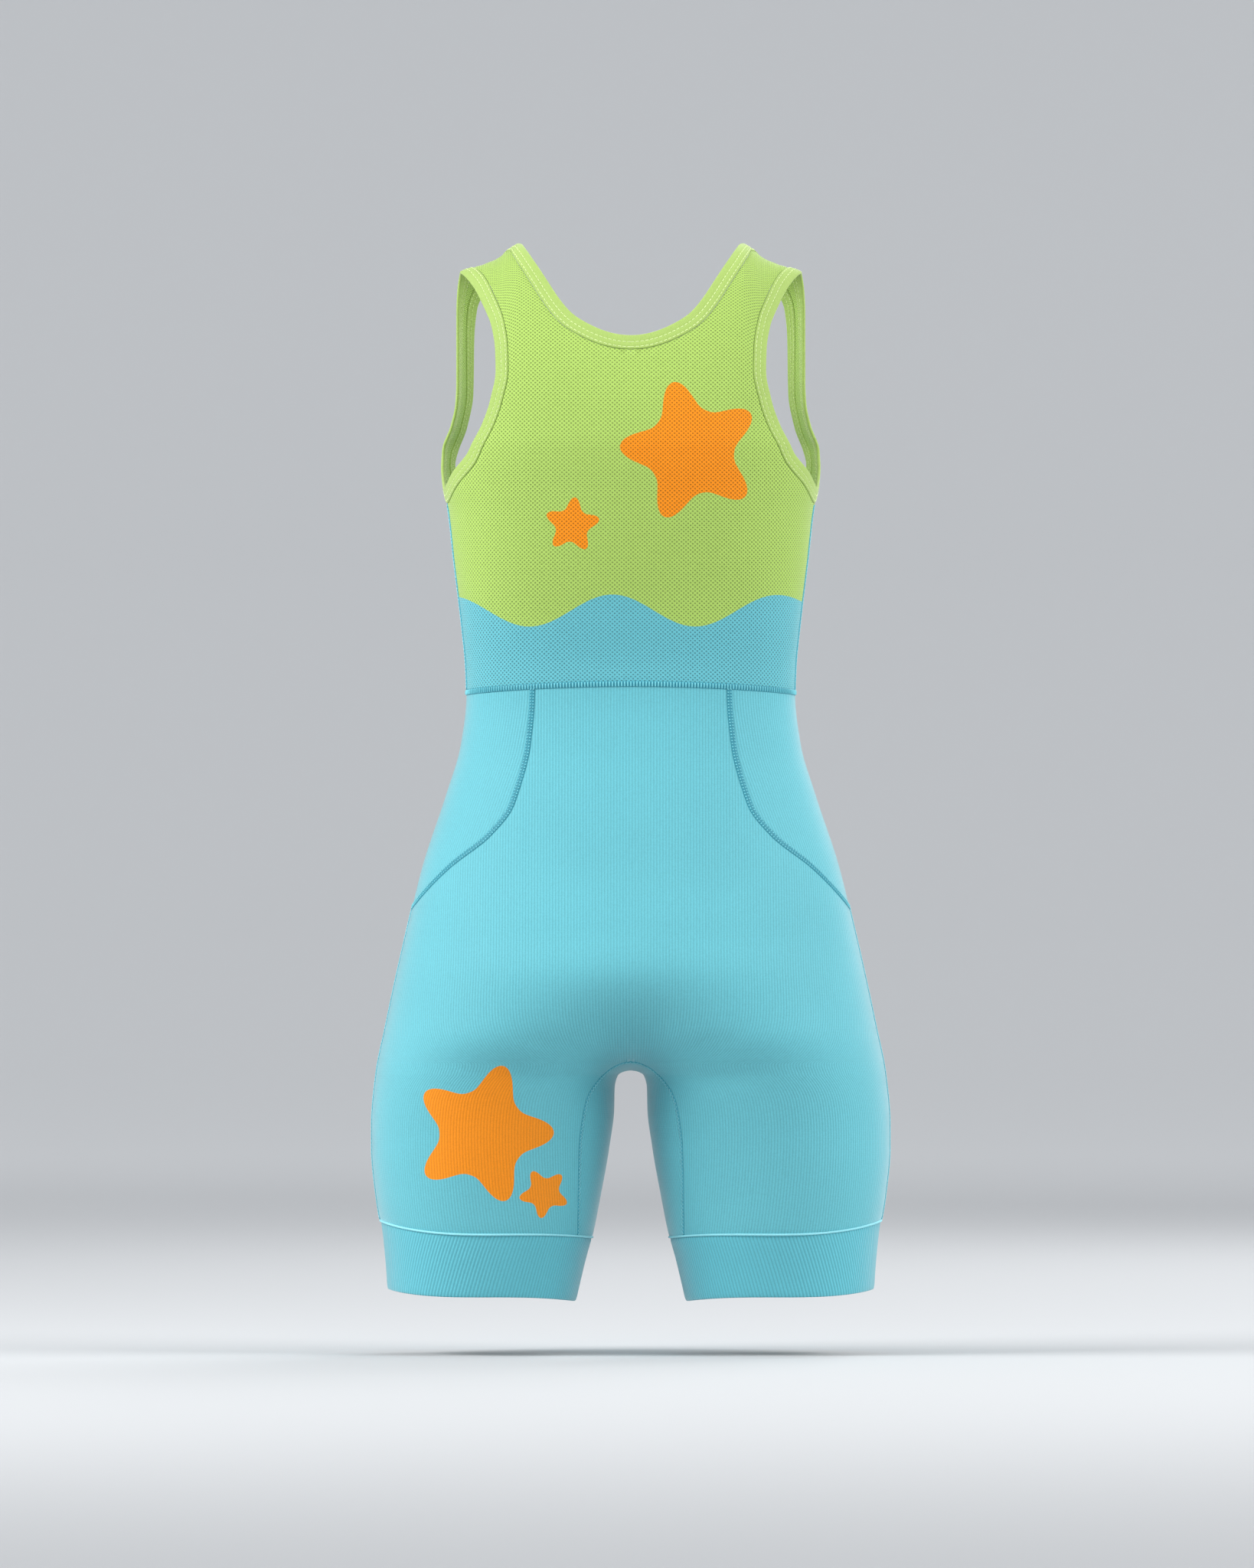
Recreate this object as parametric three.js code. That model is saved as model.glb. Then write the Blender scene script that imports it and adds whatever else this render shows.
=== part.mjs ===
// A wrestling singlet, filled out as when it is worn, with nobody in it.
// Units are millimetres. +Z is up, -Y is the back and +X is the wearer's right.
// The origin is the middle of the shoulder line, level with the highest point of the straps.
// Every sewn piece is one wall of cloth, thickened from points on the garment's surface.
import * as THREE from 'three';

// Driving sizes
const PANEL_WALL = 1.6;
const BINDING_WALL = 2.6;
const CUFF_WALL = 2.2;
const CUFF_SET_IN = 0.6;
const SEAM_GAP = 0.3;
const GUSSET_GAP = 0.45;
const BINDING_WIDTH = 12;
const CELL = 20;
const CUFF_CELL = 19;

// Rows are levels below the shoulder line
const NECK_BACK_ROW = 74;
const NECK_FRONT_ROW = 264;
const ARMHOLE_ROW = 193;
const WAIST_ROW = 347.5;
const HIP_TIP_ROW = 523.5;
const ARCH_ROW = 644;
const CROTCH_ROW = 651;
const CUFF_ROW = 779;
const HEM_ROW = 828.8;

// How far the seams leave those levels, at the sides or from one side of a leg to the other
const WAIST_DIP = 6.5;
const WAIST_DIP_REACH = 80;
const CUFF_MEAN = -2.6;
const CUFF_TILT = 6.5;
const CUFF_SAG = 3;
const CUFF_BEND_REACH = 80;
const HEM_TILT = 4.7;

// The shoulder's rounding, from the crest of the straps to the shoulder blades
const SHOULDER_HEIGHT = 130;
const SHOULDER_LEVEL_ROW = 150;
const SHOULDER_SEAM = THREE.MathUtils.degToRad(12);
const SHOULDER_GAP = 0.75;

// Squareness of a cross section: 2 is an ellipse
const TORSO_POWER = 2.35;
const LEG_POWER = 2.1;

// Where the one hollow of the hips turns into two legs
const LEGS_BEGIN = 540;
const LEGS_APART = 640;
const CROTCH_BLEND = 36;

const QUARTER = Math.PI / 2;
const SIDE_SEAM = THREE.MathUtils.degToRad(83);

// Half width, and depth behind and in front of the side line, of the middle of the wall
const BODY = [
  { drop: 0, half: 137.2, back: 80, front: 82 },
  { drop: 105, half: 137.2, back: 92, front: 94 },
  { drop: 124, half: 138, back: 95, front: 98 },
  { drop: 144, half: 142, back: 98, front: 103 },
  { drop: 163, half: 148.6, back: 100, front: 107 },
  { drop: 173, half: 148.8, back: 100, front: 109 },
  { drop: 192, half: 147, back: 99, front: 111 },
  { drop: 211, half: 143.2, back: 97.5, front: 110.5 },
  { drop: 250, half: 138.8, back: 93, front: 107 },
  { drop: 298, half: 133, back: 85.5, front: 99 },
  { drop: 337, half: 129.3, back: 81, front: 94 },
  { drop: 356, half: 128.8, back: 81, front: 93 },
  { drop: 395, half: 133.2, back: 85, front: 94 },
  { drop: 433, half: 144.3, back: 92, front: 96 },
  { drop: 491, half: 163.4, back: 105, front: 100 },
  { drop: 540, half: 175.3, back: 118, front: 102 },
  { drop: 578, half: 184, back: 125.5, front: 101 },
  { drop: 617, half: 192.3, back: 120, front: 98.5 },
  { drop: 655, half: 199.9, back: 105.5, front: 95.5 },
  { drop: 694, half: 203.2, back: 97, front: 93 },
  { drop: 713, half: 203.2, back: 94.5, front: 91.5 },
  { drop: 752, half: 199.6, back: 90.5, front: 88 },
  { drop: 781, half: 195, back: 87.5, front: 85 },
  { drop: 821, half: 191.6, back: 83, front: 80.5 },
  { drop: 840, half: 191, back: 81.5, front: 79 },
];

// Half the space between the legs; below nought they run into one another
const LEG_GAP = [
  { drop: 540, gap: -110 },
  { drop: 570, gap: -75 },
  { drop: 600, gap: -42 },
  { drop: 620, gap: -22 },
  { drop: 635, gap: -8 },
  { drop: 645, gap: 3 },
  { drop: 651, gap: 9 },
  { drop: 655, gap: 12.2 },
  { drop: 665, gap: 14 },
  { drop: 684, gap: 14.4 },
  { drop: 713, gap: 17.8 },
  { drop: 752, gap: 24.8 },
  { drop: 781, gap: 30.6 },
  { drop: 800, gap: 35.8 },
  { drop: 840, gap: 45.2 },
];

// The top line of a shoulder, by the distance from the middle
const SHOULDER_TOP = [
  { x: 60, z: 0 },
  { x: 84, z: -0.5 },
  { x: 88, z: -0.8 },
  { x: 92, z: -2.8 },
  { x: 98, z: -7 },
  { x: 102, z: -10.6 },
  { x: 107, z: -13.6 },
  { x: 113, z: -15.9 },
  { x: 117, z: -17.6 },
  { x: 123, z: -19.1 },
  { x: 131, z: -21.4 },
  { x: 135, z: -23.8 },
  { x: 137.2, z: -26 },
  { x: 150, z: -27.5 },
];

// Free edges of the bindings, by the distance from the middle
const NECK_BACK = [
  { row: 0, x: 88 },
  { row: 0.8, x: 85.5 },
  { row: 2.2, x: 84.2 },
  { row: 4.1, x: 83 },
  { row: 8, x: 80.2 },
  { row: 12, x: 77.6 },
  { row: 18, x: 73.5 },
  { row: 28, x: 67 },
  { row: 47, x: 54.5 },
  { row: 57, x: 45.5 },
  { row: 66, x: 31 },
  { row: NECK_BACK_ROW, x: 0 },
];
const NECK_FRONT = [
  { row: 0, x: 88 },
  { row: 1.5, x: 91 },
  { row: 4, x: 96 },
  { row: 10, x: 105 },
  { row: 19, x: 114 },
  { row: 34, x: 121.5 },
  { row: 60, x: 124 },
  { row: 115, x: 125 },
  { row: 144, x: 130 },
  { row: 163, x: 137 },
  { row: 174, x: 139.5 },
  { row: 184, x: 138 },
  { row: 200, x: 130 },
  { row: 230, x: 99 },
  { row: 250, x: 60 },
  { row: NECK_FRONT_ROW, x: 0 },
];
const ARMHOLE_BACK = [
  { row: 0, x: 134.5 },
  { row: 10, x: 127.5 },
  { row: 20, x: 122 },
  { row: 44, x: 113 },
  { row: 56, x: 109.5 },
  { row: 78, x: 106.5 },
  { row: 99, x: 106 },
  { row: 120, x: 109.5 },
  { row: 143, x: 116.5 },
  { row: 163, x: 126.5 },
  { row: 182, x: 140.5 },
];
const ARMHOLE_FRONT = [
  { row: 0, x: 134.5 },
  { row: 12, x: 136 },
  { row: 30, x: 136.6 },
  { row: 105, x: 136.6 },
  { row: 124, x: 137.4 },
  { row: 144, x: 141.3 },
  { row: 163, x: 147.9 },
  { row: 176, x: 148.5 },
];

// Seams of the lower half on the back, by the distance from the middle
const HIP_SEAM = [
  { row: WAIST_ROW, x: 77 },
  { row: 399, x: 81 },
  { row: 442, x: 93 },
  { row: 466, x: 111 },
  { row: 490, x: 141 },
];
const GUSSET_SEAM = [
  { row: ARCH_ROW, x: 0 },
  { row: 653, x: 20.5 },
  { row: 677, x: 35.6 },
  { row: 713, x: 40.4 },
  { row: CUFF_ROW, x: 41.8 },
];

const LIME = 0xabc763;
const LIME_LIGHT = 0xbfda85;
const AQUA = 0x7cc8d3;
const AQUA_DEEP = 0x66becb;

// A smooth curve through a table that never overshoots its rows
function curve(table, from, to) {
  const at = table.map((row) => row[from]);
  const value = table.map((row) => row[to]);
  const last = at.length - 1;
  const slope = at.slice(1).map((x, i) => (value[i + 1] - value[i]) / (x - at[i]));
  const tangent = at.map((_, i) => {
    if (i === 0) return slope[0];
    if (i === last) return slope[last - 1];
    if (slope[i - 1] * slope[i] <= 0) return 0;
    return (2 * slope[i - 1] * slope[i]) / (slope[i - 1] + slope[i]);
  });
  return (x) => {
    if (x <= at[0]) return value[0];
    if (x >= at[last]) return value[last];
    let i = 0;
    while (x > at[i + 1]) i += 1;
    const width = at[i + 1] - at[i];
    const t = (x - at[i]) / width;
    const rise = t * t * (3 - 2 * t);
    const bow = t * (1 - t) * width;
    return value[i] * (1 - rise) + value[i + 1] * rise + bow * ((1 - t) * tangent[i] - t * tangent[i + 1]);
  };
}

const halfWidth = curve(BODY, 'drop', 'half');
const backDepth = curve(BODY, 'drop', 'back');
const frontDepth = curve(BODY, 'drop', 'front');
const legGap = curve(LEG_GAP, 'drop', 'gap');
const shoulderTop = curve(SHOULDER_TOP, 'x', 'z');
const { smoothstep } = THREE.MathUtils;

const legShare = (drop) => smoothstep(drop, LEGS_BEGIN, LEGS_APART);

// The real drop of a point on a row, once the waist, cuff and hem seams have bent it
function rowDrop(row, angle) {
  const side = Math.sin(angle);
  const waist = 1 - smoothstep(Math.abs(row - WAIST_ROW), 0, WAIST_DIP_REACH);
  const cuff = smoothstep(row, CUFF_ROW - CUFF_BEND_REACH, CUFF_ROW);
  const hem = smoothstep(row, CUFF_ROW, HEM_ROW);
  const tilt = side ** 3;
  const cuffBend = CUFF_MEAN - CUFF_TILT * tilt + CUFF_SAG * (1 - side * side);
  const hemBend = -HEM_TILT * tilt;
  return row + WAIST_DIP * side * side * waist + (cuffBend * (1 - hem) + hemBend * hem) * cuff;
}

// How far outside the garment a point of the hips or legs is; below nought is inside
function outside(x, y, drop) {
  const half = halfWidth(drop);
  const depth = y < 0 ? backDepth(drop) : frontDepth(drop);
  const oval = (dx, rx, power) => {
    const sum = Math.abs(dx / rx) ** power + Math.abs(y / depth) ** power;
    return rx * (sum ** (1 / power) - 1);
  };
  const torso = oval(x, half, TORSO_POWER);
  const share = legShare(drop);
  if (share === 0) return torso;
  const gap = legGap(drop);
  const centre = (half + gap) / 2;
  const reach = (half - gap) / 2;
  const near = oval(Math.abs(x) - centre, reach, LEG_POWER);
  const far = oval(Math.abs(x) + centre, reach, LEG_POWER);
  const mix = Math.max(CROTCH_BLEND - (far - near), 0) / CROTCH_BLEND;
  const legs = near - (mix * mix * CROTCH_BLEND) / 4;
  return torso * (1 - share) + legs * share;
}

// The place where a ray from inside meets the garment's surface, and the surface's normal there
function castRay(origin, ray) {
  const point = (reach) => origin.clone().addScaledVector(ray, reach);
  const signed = (p) => outside(p.x, p.y, -p.z);
  const stride = 0.02;
  let high = 0.4;
  while (high < 1.7 && signed(point(high)) < 0) high += stride;
  let low = high - stride;
  for (let halving = 0; halving < 26; halving += 1) {
    const middle = (low + high) / 2;
    if (signed(point(middle)) < 0) low = middle;
    else high = middle;
  }
  const p = point((low + high) / 2);
  const step = 0.05;
  const slope = (axis) => signed(p.clone().addScaledVector(axis, step)) - signed(p.clone().addScaledVector(axis, -step));
  const n = new THREE.Vector3(
    slope(new THREE.Vector3(1, 0, 0)),
    slope(new THREE.Vector3(0, 1, 0)),
    slope(new THREE.Vector3(0, 0, 1)),
  );
  return { p, n: n.normalize() };
}

// A point of the hips or the right leg. Angle 0 is the back, a quarter turn the side, a half turn the front.
function lowerPoint(angle, row) {
  const drop = rowDrop(row, angle);
  const half = halfWidth(drop);
  const centre = (legShare(drop) * (half + legGap(drop))) / 2;
  const depth = Math.cos(angle) > 0 ? backDepth(drop) : frontDepth(drop);
  const origin = new THREE.Vector3(centre, 0, -drop);
  const ray = new THREE.Vector3((half - centre) * Math.sin(angle), -depth * Math.cos(angle), 0);
  return castRay(origin, ray);
}

// The angle of a row's point at a given distance from the middle, between two angles
function angleAtX(row, x, low, high) {
  let near = low;
  let far = high;
  for (let step = 0; step < 40; step += 1) {
    const middle = (near + far) / 2;
    if (lowerPoint(middle, row).p.x < x) near = middle;
    else far = middle;
  }
  return (near + far) / 2;
}

const backAngle = (row, x) => angleAtX(row, x, -QUARTER, QUARTER);
const frontAngle = (row, x) => angleAtX(row, x, 3 * QUARTER, QUARTER);

// The bodice is laid out by a path: 0 on the shoulder's crest, minus down the back, plus down the front
function rowOfPath(path) {
  const length = Math.abs(path);
  const quarter = SHOULDER_HEIGHT * QUARTER;
  if (length > quarter) return SHOULDER_HEIGHT + length - quarter;
  return SHOULDER_HEIGHT * (1 - Math.cos(length / SHOULDER_HEIGHT));
}

function pathOfRow(row) {
  if (row > SHOULDER_HEIGHT) return SHOULDER_HEIGHT * QUARTER + row - SHOULDER_HEIGHT;
  return SHOULDER_HEIGHT * Math.acos(1 - row / SHOULDER_HEIGHT);
}

function bodicePlace(angle, path) {
  const row = rowOfPath(path);
  const drop = rowDrop(row, angle);
  const sine = Math.sin(angle);
  const cosine = Math.cos(angle);
  const radius = (Math.abs(sine) ** TORSO_POWER + Math.abs(cosine) ** TORSO_POWER) ** (-1 / TORSO_POWER);
  const cap = row < SHOULDER_HEIGHT ? Math.sqrt(1 - (1 - row / SHOULDER_HEIGHT) ** 2) : 1;
  const x = halfWidth(drop) * radius * sine;
  const reach = Math.sign(path) * radius * cosine * cap;
  const y = reach * (reach < 0 ? backDepth(drop) : frontDepth(drop));
  const level = 1 - smoothstep(row, 0, SHOULDER_LEVEL_ROW);
  return new THREE.Vector3(x, y, -drop + shoulderTop(Math.abs(x)) * level);
}

function bodicePoint(angle, path) {
  const p = bodicePlace(angle, path);
  const turn = 1e-4;
  const walk = 0.05;
  const across = bodicePlace(angle + turn, path).sub(bodicePlace(angle - turn, path));
  const along = bodicePlace(angle, path + walk).sub(bodicePlace(angle, path - walk));
  const n = across.cross(along).normalize();
  const outward = new THREE.Vector3(p.x, p.y, 100);
  if (n.dot(outward) < 0) n.negate();
  return { p, n, angle, path };
}

// The bodice's angle at a given distance from the middle
function bodiceAngle(row, x) {
  const share = Math.min(x / halfWidth(row), 1);
  return Math.atan2(share, (1 - share ** TORSO_POWER) ** (1 / TORSO_POWER));
}

// The bodice's point nearest to a place, found from a starting guess
function bodiceNearest(place, guess) {
  let { angle, path } = guess;
  const turn = 1e-4;
  const walk = 0.02;
  for (let step = 0; step < 12; step += 1) {
    const here = bodicePlace(angle, path);
    const error = place.clone().sub(here);
    const across = bodicePlace(angle + turn, path).sub(here).divideScalar(turn);
    const along = bodicePlace(angle, path + walk).sub(here).divideScalar(walk);
    const aa = across.dot(across);
    const bb = along.dot(along);
    const ab = across.dot(along);
    const determinant = aa * bb - ab * ab;
    angle += (error.dot(across) * bb - error.dot(along) * ab) / determinant;
    path += (error.dot(along) * aa - error.dot(across) * ab) / determinant;
  }
  return bodicePoint(angle, path);
}

// Points at a distance to the side of a line of bodice points; plus is to the right of one going up the back
function beside(line, distance, closed) {
  const count = line.length;
  return line.map((point, i) => {
    const before = closed ? line[(i + count - 1) % count] : line[Math.max(i - 1, 0)];
    const after = closed ? line[(i + 1) % count] : line[Math.min(i + 1, count - 1)];
    const away = point.n.clone().cross(after.p.clone().sub(before.p)).normalize();
    return bodiceNearest(point.p.clone().addScaledVector(away, distance), point);
  });
}

// An edge's angle from a seam, or its distance from the middle, is squared so that its end is round
const EDGE_SAMPLES = 120;
const edgePaths = (row) => {
  const length = pathOfRow(row);
  return Array.from({ length: EDGE_SAMPLES + 1 }, (_, i) => length * (1 - (i / EDGE_SAMPLES) ** 2));
};

// The armhole's free edge: up the back from its lowest point, over the crest and down the front
function armholeEdge() {
  const half = (table, seam, side) => {
    const rows = table.map(({ row, x }) => ({ row, square: (seam - bodiceAngle(row, x)) ** 2 }));
    const square = curve([...rows, { row: ARMHOLE_ROW, square: 0 }], 'row', 'square');
    return edgePaths(ARMHOLE_ROW).map((path) => bodicePoint(seam - Math.sqrt(square(rowOfPath(path))), side * path));
  };
  const back = half(ARMHOLE_BACK, SIDE_SEAM, -1);
  const front = half(ARMHOLE_FRONT, Math.PI - SIDE_SEAM, 1);
  return [...back, ...front.reverse().slice(1, -1)];
}

// The right half of the neck's free edge, from the middle of the back to the middle of the front
function neckEdge() {
  const half = (table, end, side) => {
    const square = curve(table.map(({ row, x }) => ({ row, square: x * x })), 'row', 'square');
    return edgePaths(end).map((path) => {
      const row = rowOfPath(path);
      return bodicePoint(bodiceAngle(row, Math.sqrt(square(row))), side * path);
    });
  };
  const back = half(NECK_BACK, NECK_BACK_ROW, -1);
  const front = half(NECK_FRONT, NECK_FRONT_ROW, 1);
  return [...back, ...front.reverse().slice(1)];
}

// The lines of a binding: the panel's cut edge, the binding's sewn edge, its middle and its free edge
const BINDING_LINES = [SEAM_GAP + BINDING_WIDTH, BINDING_WIDTH, BINDING_WIDTH / 2, 0];

function armholeLines() {
  const free = armholeEdge();
  return BINDING_LINES.map((distance) => {
    const line = distance === 0 ? free : beside(free, distance, true);
    const end = line[0];
    return [...line, { ...end, angle: Math.PI - end.angle, path: -end.path }];
  });
}

function neckLines() {
  const free = neckEdge();
  return BINDING_LINES.map((distance) => {
    const line = distance === 0 ? free : beside(free, -distance, false);
    const ends = [line[0], line[line.length - 1]].map((end) => bodicePoint(0, end.path));
    return [ends[0], ...line.slice(1, -1), ends[1]];
  });
}

// Where a line crosses a path, as a count of its samples
function crossing(line, path) {
  for (let i = 1; i < line.length; i += 1) {
    const before = line[i - 1].path;
    const after = line[i].path;
    if ((path - before) * (path - after) <= 0 && before !== after) return i - 1 + (path - before) / (after - before);
  }
  return path < 0 ? 0 : line.length - 1;
}

function pointAlong(line, index) {
  const first = Math.min(Math.floor(index), line.length - 2);
  const share = index - first;
  const blend = (key) => line[first][key] * (1 - share) + line[first + 1][key] * share;
  return bodicePoint(blend('angle'), blend('path'));
}

const armhole = armholeLines();
const neck = neckLines();
const crossingAngle = (line, path) => pointAlong(line, crossing(line, path)).angle;

// Points spread evenly along a line, kept off its ends by a trim
function spread(pointAt, from, to, { cell = CELL, start = 0, end = 0 } = {}) {
  const steps = 80;
  const at = Array.from({ length: steps + 1 }, (_, i) => from + ((to - from) * i) / steps);
  const places = at.map((value) => pointAt(value).p);
  const lengths = [0];
  for (let i = 1; i <= steps; i += 1) lengths.push(lengths[i - 1] + places[i].distanceTo(places[i - 1]));
  const span = lengths[steps] - start - end;
  const count = Math.max(2, Math.round(span / cell));
  const valueAt = (length) => {
    let i = 1;
    while (i < steps && lengths[i] < length) i += 1;
    const share = (length - lengths[i - 1]) / (lengths[i] - lengths[i - 1]);
    return at[i - 1] + share * (at[i] - at[i - 1]);
  };
  return Array.from({ length: count + 1 }, (_, i) => pointAt(valueAt(start + (span * i) / count)));
}

// Values from one to another, closest together at the first
function easedValues(from, to, count, power = 1) {
  return Array.from({ length: count + 1 }, (_, i) => from + (to - from) * (i / count) ** power);
}

const mirrorPoint = ({ p, n }) => ({ p: new THREE.Vector3(-p.x, p.y, p.z), n: new THREE.Vector3(-n.x, n.y, n.z) });
const mirrorRow = (row) => row.map(mirrorPoint).reverse();
const mirrorRows = (rows) => rows.map(mirrorRow);
const wholeRow = (right) => [...mirrorRow(right).slice(0, -1), ...right];

// Triangles between two rows that may have different counts of points
function zip(upper, lower) {
  const triangles = [];
  let i = 0;
  let j = 0;
  while (i < upper.length - 1 || j < lower.length - 1) {
    const upperNext = (i + 1) / (upper.length - 1);
    const lowerNext = (j + 1) / (lower.length - 1);
    const stepUpper = j === lower.length - 1 || (i < upper.length - 1 && upperNext <= lowerNext);
    if (stepUpper) {
      triangles.push([upper[i], upper[i + 1], lower[j]]);
      i += 1;
    } else {
      triangles.push([upper[i], lower[j + 1], lower[j]]);
      j += 1;
    }
  }
  return triangles;
}

const skin = (rows) => rows.slice(1).flatMap((row, i) => zip(rows[i], row));

// One closed wall of cloth, half its thickness on each side of the given triangles
function thicken(triangles, wall) {
  const index = new Map();
  const points = [];
  const indexOf = (point) => {
    const key = point.p.toArray().map((value) => Math.round(value * 1e4) + 0).join();
    if (!index.has(key)) {
      index.set(key, points.length);
      points.push(point);
    }
    return index.get(key);
  };
  const faces = [];
  for (const triangle of triangles) {
    const [a, b, c] = triangle.map(indexOf);
    if (a === b || b === c || c === a) continue;
    const [pa, pb, pc] = [a, b, c].map((i) => points[i].p);
    const facing = pb.clone().sub(pa).cross(pc.clone().sub(pa));
    const outward = points[a].n.clone().add(points[b].n).add(points[c].n);
    faces.push(facing.dot(outward) > 0 ? [a, b, c] : [a, c, b]);
  }
  const count = points.length;
  const edges = new Set(faces.flatMap(([a, b, c]) => [`${a},${b}`, `${b},${c}`, `${c},${a}`]));
  const indices = faces.flatMap(([a, b, c]) => [a, b, c, a + count, c + count, b + count]);
  for (const edge of edges) {
    const [a, b] = edge.split(',').map(Number);
    if (edges.has(`${b},${a}`)) continue;
    indices.push(b, a, a + count, b, a + count, b + count);
  }
  const side = (sign) => points.flatMap(({ p, n }) => p.clone().addScaledVector(n, (sign * wall) / 2).toArray());
  const geometry = new THREE.BufferGeometry();
  geometry.setAttribute('position', new THREE.Float32BufferAttribute([...side(1), ...side(-1)], 3));
  geometry.setIndex(indices);
  geometry.computeVertexNormals();
  return geometry;
}

// Paths of the bodice's rows, closest together where a round edge ends
const armholeEnd = -armhole[0][0].path;
const neckBackEnd = -neck[0][0].path;
const neckFrontEnd = neck[0][neck[0].length - 1].path;
const waistEnd = pathOfRow(WAIST_ROW - SEAM_GAP / 2);
const shoulderEnd = SHOULDER_HEIGHT * SHOULDER_SEAM;
const strapPaths = easedValues(-neckBackEnd, shoulderEnd, 16, 1.3);
const bladePaths = easedValues(-armholeEnd, -neckBackEnd, 8, 1.5).reverse();
const lowerBackPaths = easedValues(-armholeEnd, -waistEnd, 7);
const frontStrapPaths = easedValues(armholeEnd, shoulderEnd + SHOULDER_GAP, 14, 1.3).reverse();
const frontSidePaths = easedValues(neckFrontEnd, armholeEnd, 7, 1.5).reverse();
const lowerFrontPaths = easedValues(neckFrontEnd, waistEnd, 4);

// One row of the bodice's right half, from the neck's cut edge or the middle to the armhole or side
function bodiceRow(path, fromMiddle) {
  const front = path > 0;
  const seam = front ? Math.PI - SIDE_SEAM : SIDE_SEAM;
  const beyond = Math.abs(path) >= armholeEnd;
  const inner = fromMiddle ? 0 : crossingAngle(neck[0], path);
  const outer = beyond ? seam : crossingAngle(armhole[0], path);
  return spread((angle) => bodicePoint(angle, path), inner, outer, { end: beyond ? SEAM_GAP / 2 : 0 });
}

// The shared row of straps and body starts on the middle line in both
function backBodice() {
  const [shared, ...strap] = strapPaths;
  const straps = [bodiceRow(shared, true), ...strap.map((path) => bodiceRow(path, false))];
  const body = [...bladePaths, ...lowerBackPaths.slice(1)].map((path) => wholeRow(bodiceRow(path, true)));
  return [...skin(straps), ...skin(mirrorRows(straps)), ...skin(body)];
}

function frontBodice() {
  const paths = [...frontStrapPaths, ...frontSidePaths.slice(1, -1)];
  const straps = [...paths.map((path) => bodiceRow(path, false)), bodiceRow(neckFrontEnd, true)];
  const body = lowerFrontPaths.map((path) => wholeRow(bodiceRow(path, true)));
  return [...skin(straps), ...skin(mirrorRows(straps)), ...skin(body)];
}

// A binding's cross row at one count of samples along its lines
const bindingRow = (lines, index) => lines.slice(1).map((line) => pointAlong(line, index));

function armholeBinding() {
  const back = [...strapPaths.slice(1).reverse(), ...bladePaths].filter((path) => path < shoulderEnd);
  const front = frontStrapPaths;
  const paths = [...new Set([...back, ...front])].sort((a, b) => a - b);
  const rows = paths.map((path) => bindingRow(armhole, crossing(armhole[0], path)));
  return skin([...rows.slice(0, -1), rows[0]]);
}

function neckBinding() {
  const front = [...frontStrapPaths.slice(1), ...frontSidePaths.slice(1)];
  const paths = [...strapPaths, ...front];
  const right = paths.map((path) => bindingRow(neck, crossing(neck[0], path)));
  const left = right.map((row) => row.map(mirrorPoint)).reverse();
  return skin([...right, ...left.slice(1)]);
}

// Rows of the lower half, closest together at the hip panel's tip and at the gusset's arch
const hipRows = easedValues(HIP_TIP_ROW, WAIST_ROW + SEAM_GAP / 2, 11, 1.6).reverse();
const seatRows = easedValues(HIP_TIP_ROW, ARCH_ROW, 7);
const legRows = easedValues(ARCH_ROW, CUFF_ROW - SEAM_GAP / 2, 10, 1.6);

const hipSquare = curve(
  [
    ...HIP_SEAM.map(({ row, x }) => ({ row, square: (QUARTER - backAngle(row, x)) ** 2 })),
    { row: HIP_TIP_ROW, square: 0 },
  ],
  'row',
  'square',
);
const hipAngle = (row) => QUARTER - Math.sqrt(hipSquare(row));
const gussetSquare = curve(GUSSET_SEAM.map(({ row, x }) => ({ row, square: x * x })), 'row', 'square');
const gussetX = (row) => (row <= ARCH_ROW ? 0 : Math.sqrt(gussetSquare(row)));

// One row of a lower panel's right half, from the middle or the gusset to the hip seam or outseam
function lowerRow(row, front) {
  const inner = front ? frontAngle(row, gussetX(row)) : backAngle(row, gussetX(row));
  const atHip = row < HIP_TIP_ROW;
  const backOuter = atHip ? hipAngle(row) : QUARTER;
  const outer = front ? Math.PI - backOuter : backOuter;
  return spread((angle) => lowerPoint(angle, row), inner, outer, { end: atHip ? 0 : SEAM_GAP / 2 });
}

function lowerPanel(front) {
  const body = [...hipRows, ...seatRows.slice(1)].map((row) => wholeRow(lowerRow(row, front)));
  const leg = legRows.map((row) => lowerRow(row, front));
  return [...skin(body), ...skin(leg), ...skin(mirrorRows(leg))];
}

// The share of a seam's gap that a row crosses when the seam runs aslant to it
function slantGap(row) {
  const step = 1;
  const seam = lowerPoint(hipAngle(row + step), row + step).p.sub(lowerPoint(hipAngle(row - step), row - step).p);
  const turn = 0.01;
  const along = lowerPoint(hipAngle(row) + turn, row).p.sub(lowerPoint(hipAngle(row) - turn, row).p);
  return SEAM_GAP / seam.normalize().cross(along.normalize()).length();
}

function sidePanel() {
  const rows = hipRows.slice(0, -1).map((row) => {
    const trim = slantGap(Math.max(row, WAIST_ROW + 2));
    const place = (angle) => lowerPoint(angle, row);
    return spread(place, hipAngle(row), Math.PI - hipAngle(row), { start: trim, end: trim });
  });
  const tip = lowerPoint(QUARTER, HIP_TIP_ROW - 2 * SEAM_GAP);
  return skin([...rows, [tip]]);
}

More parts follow.
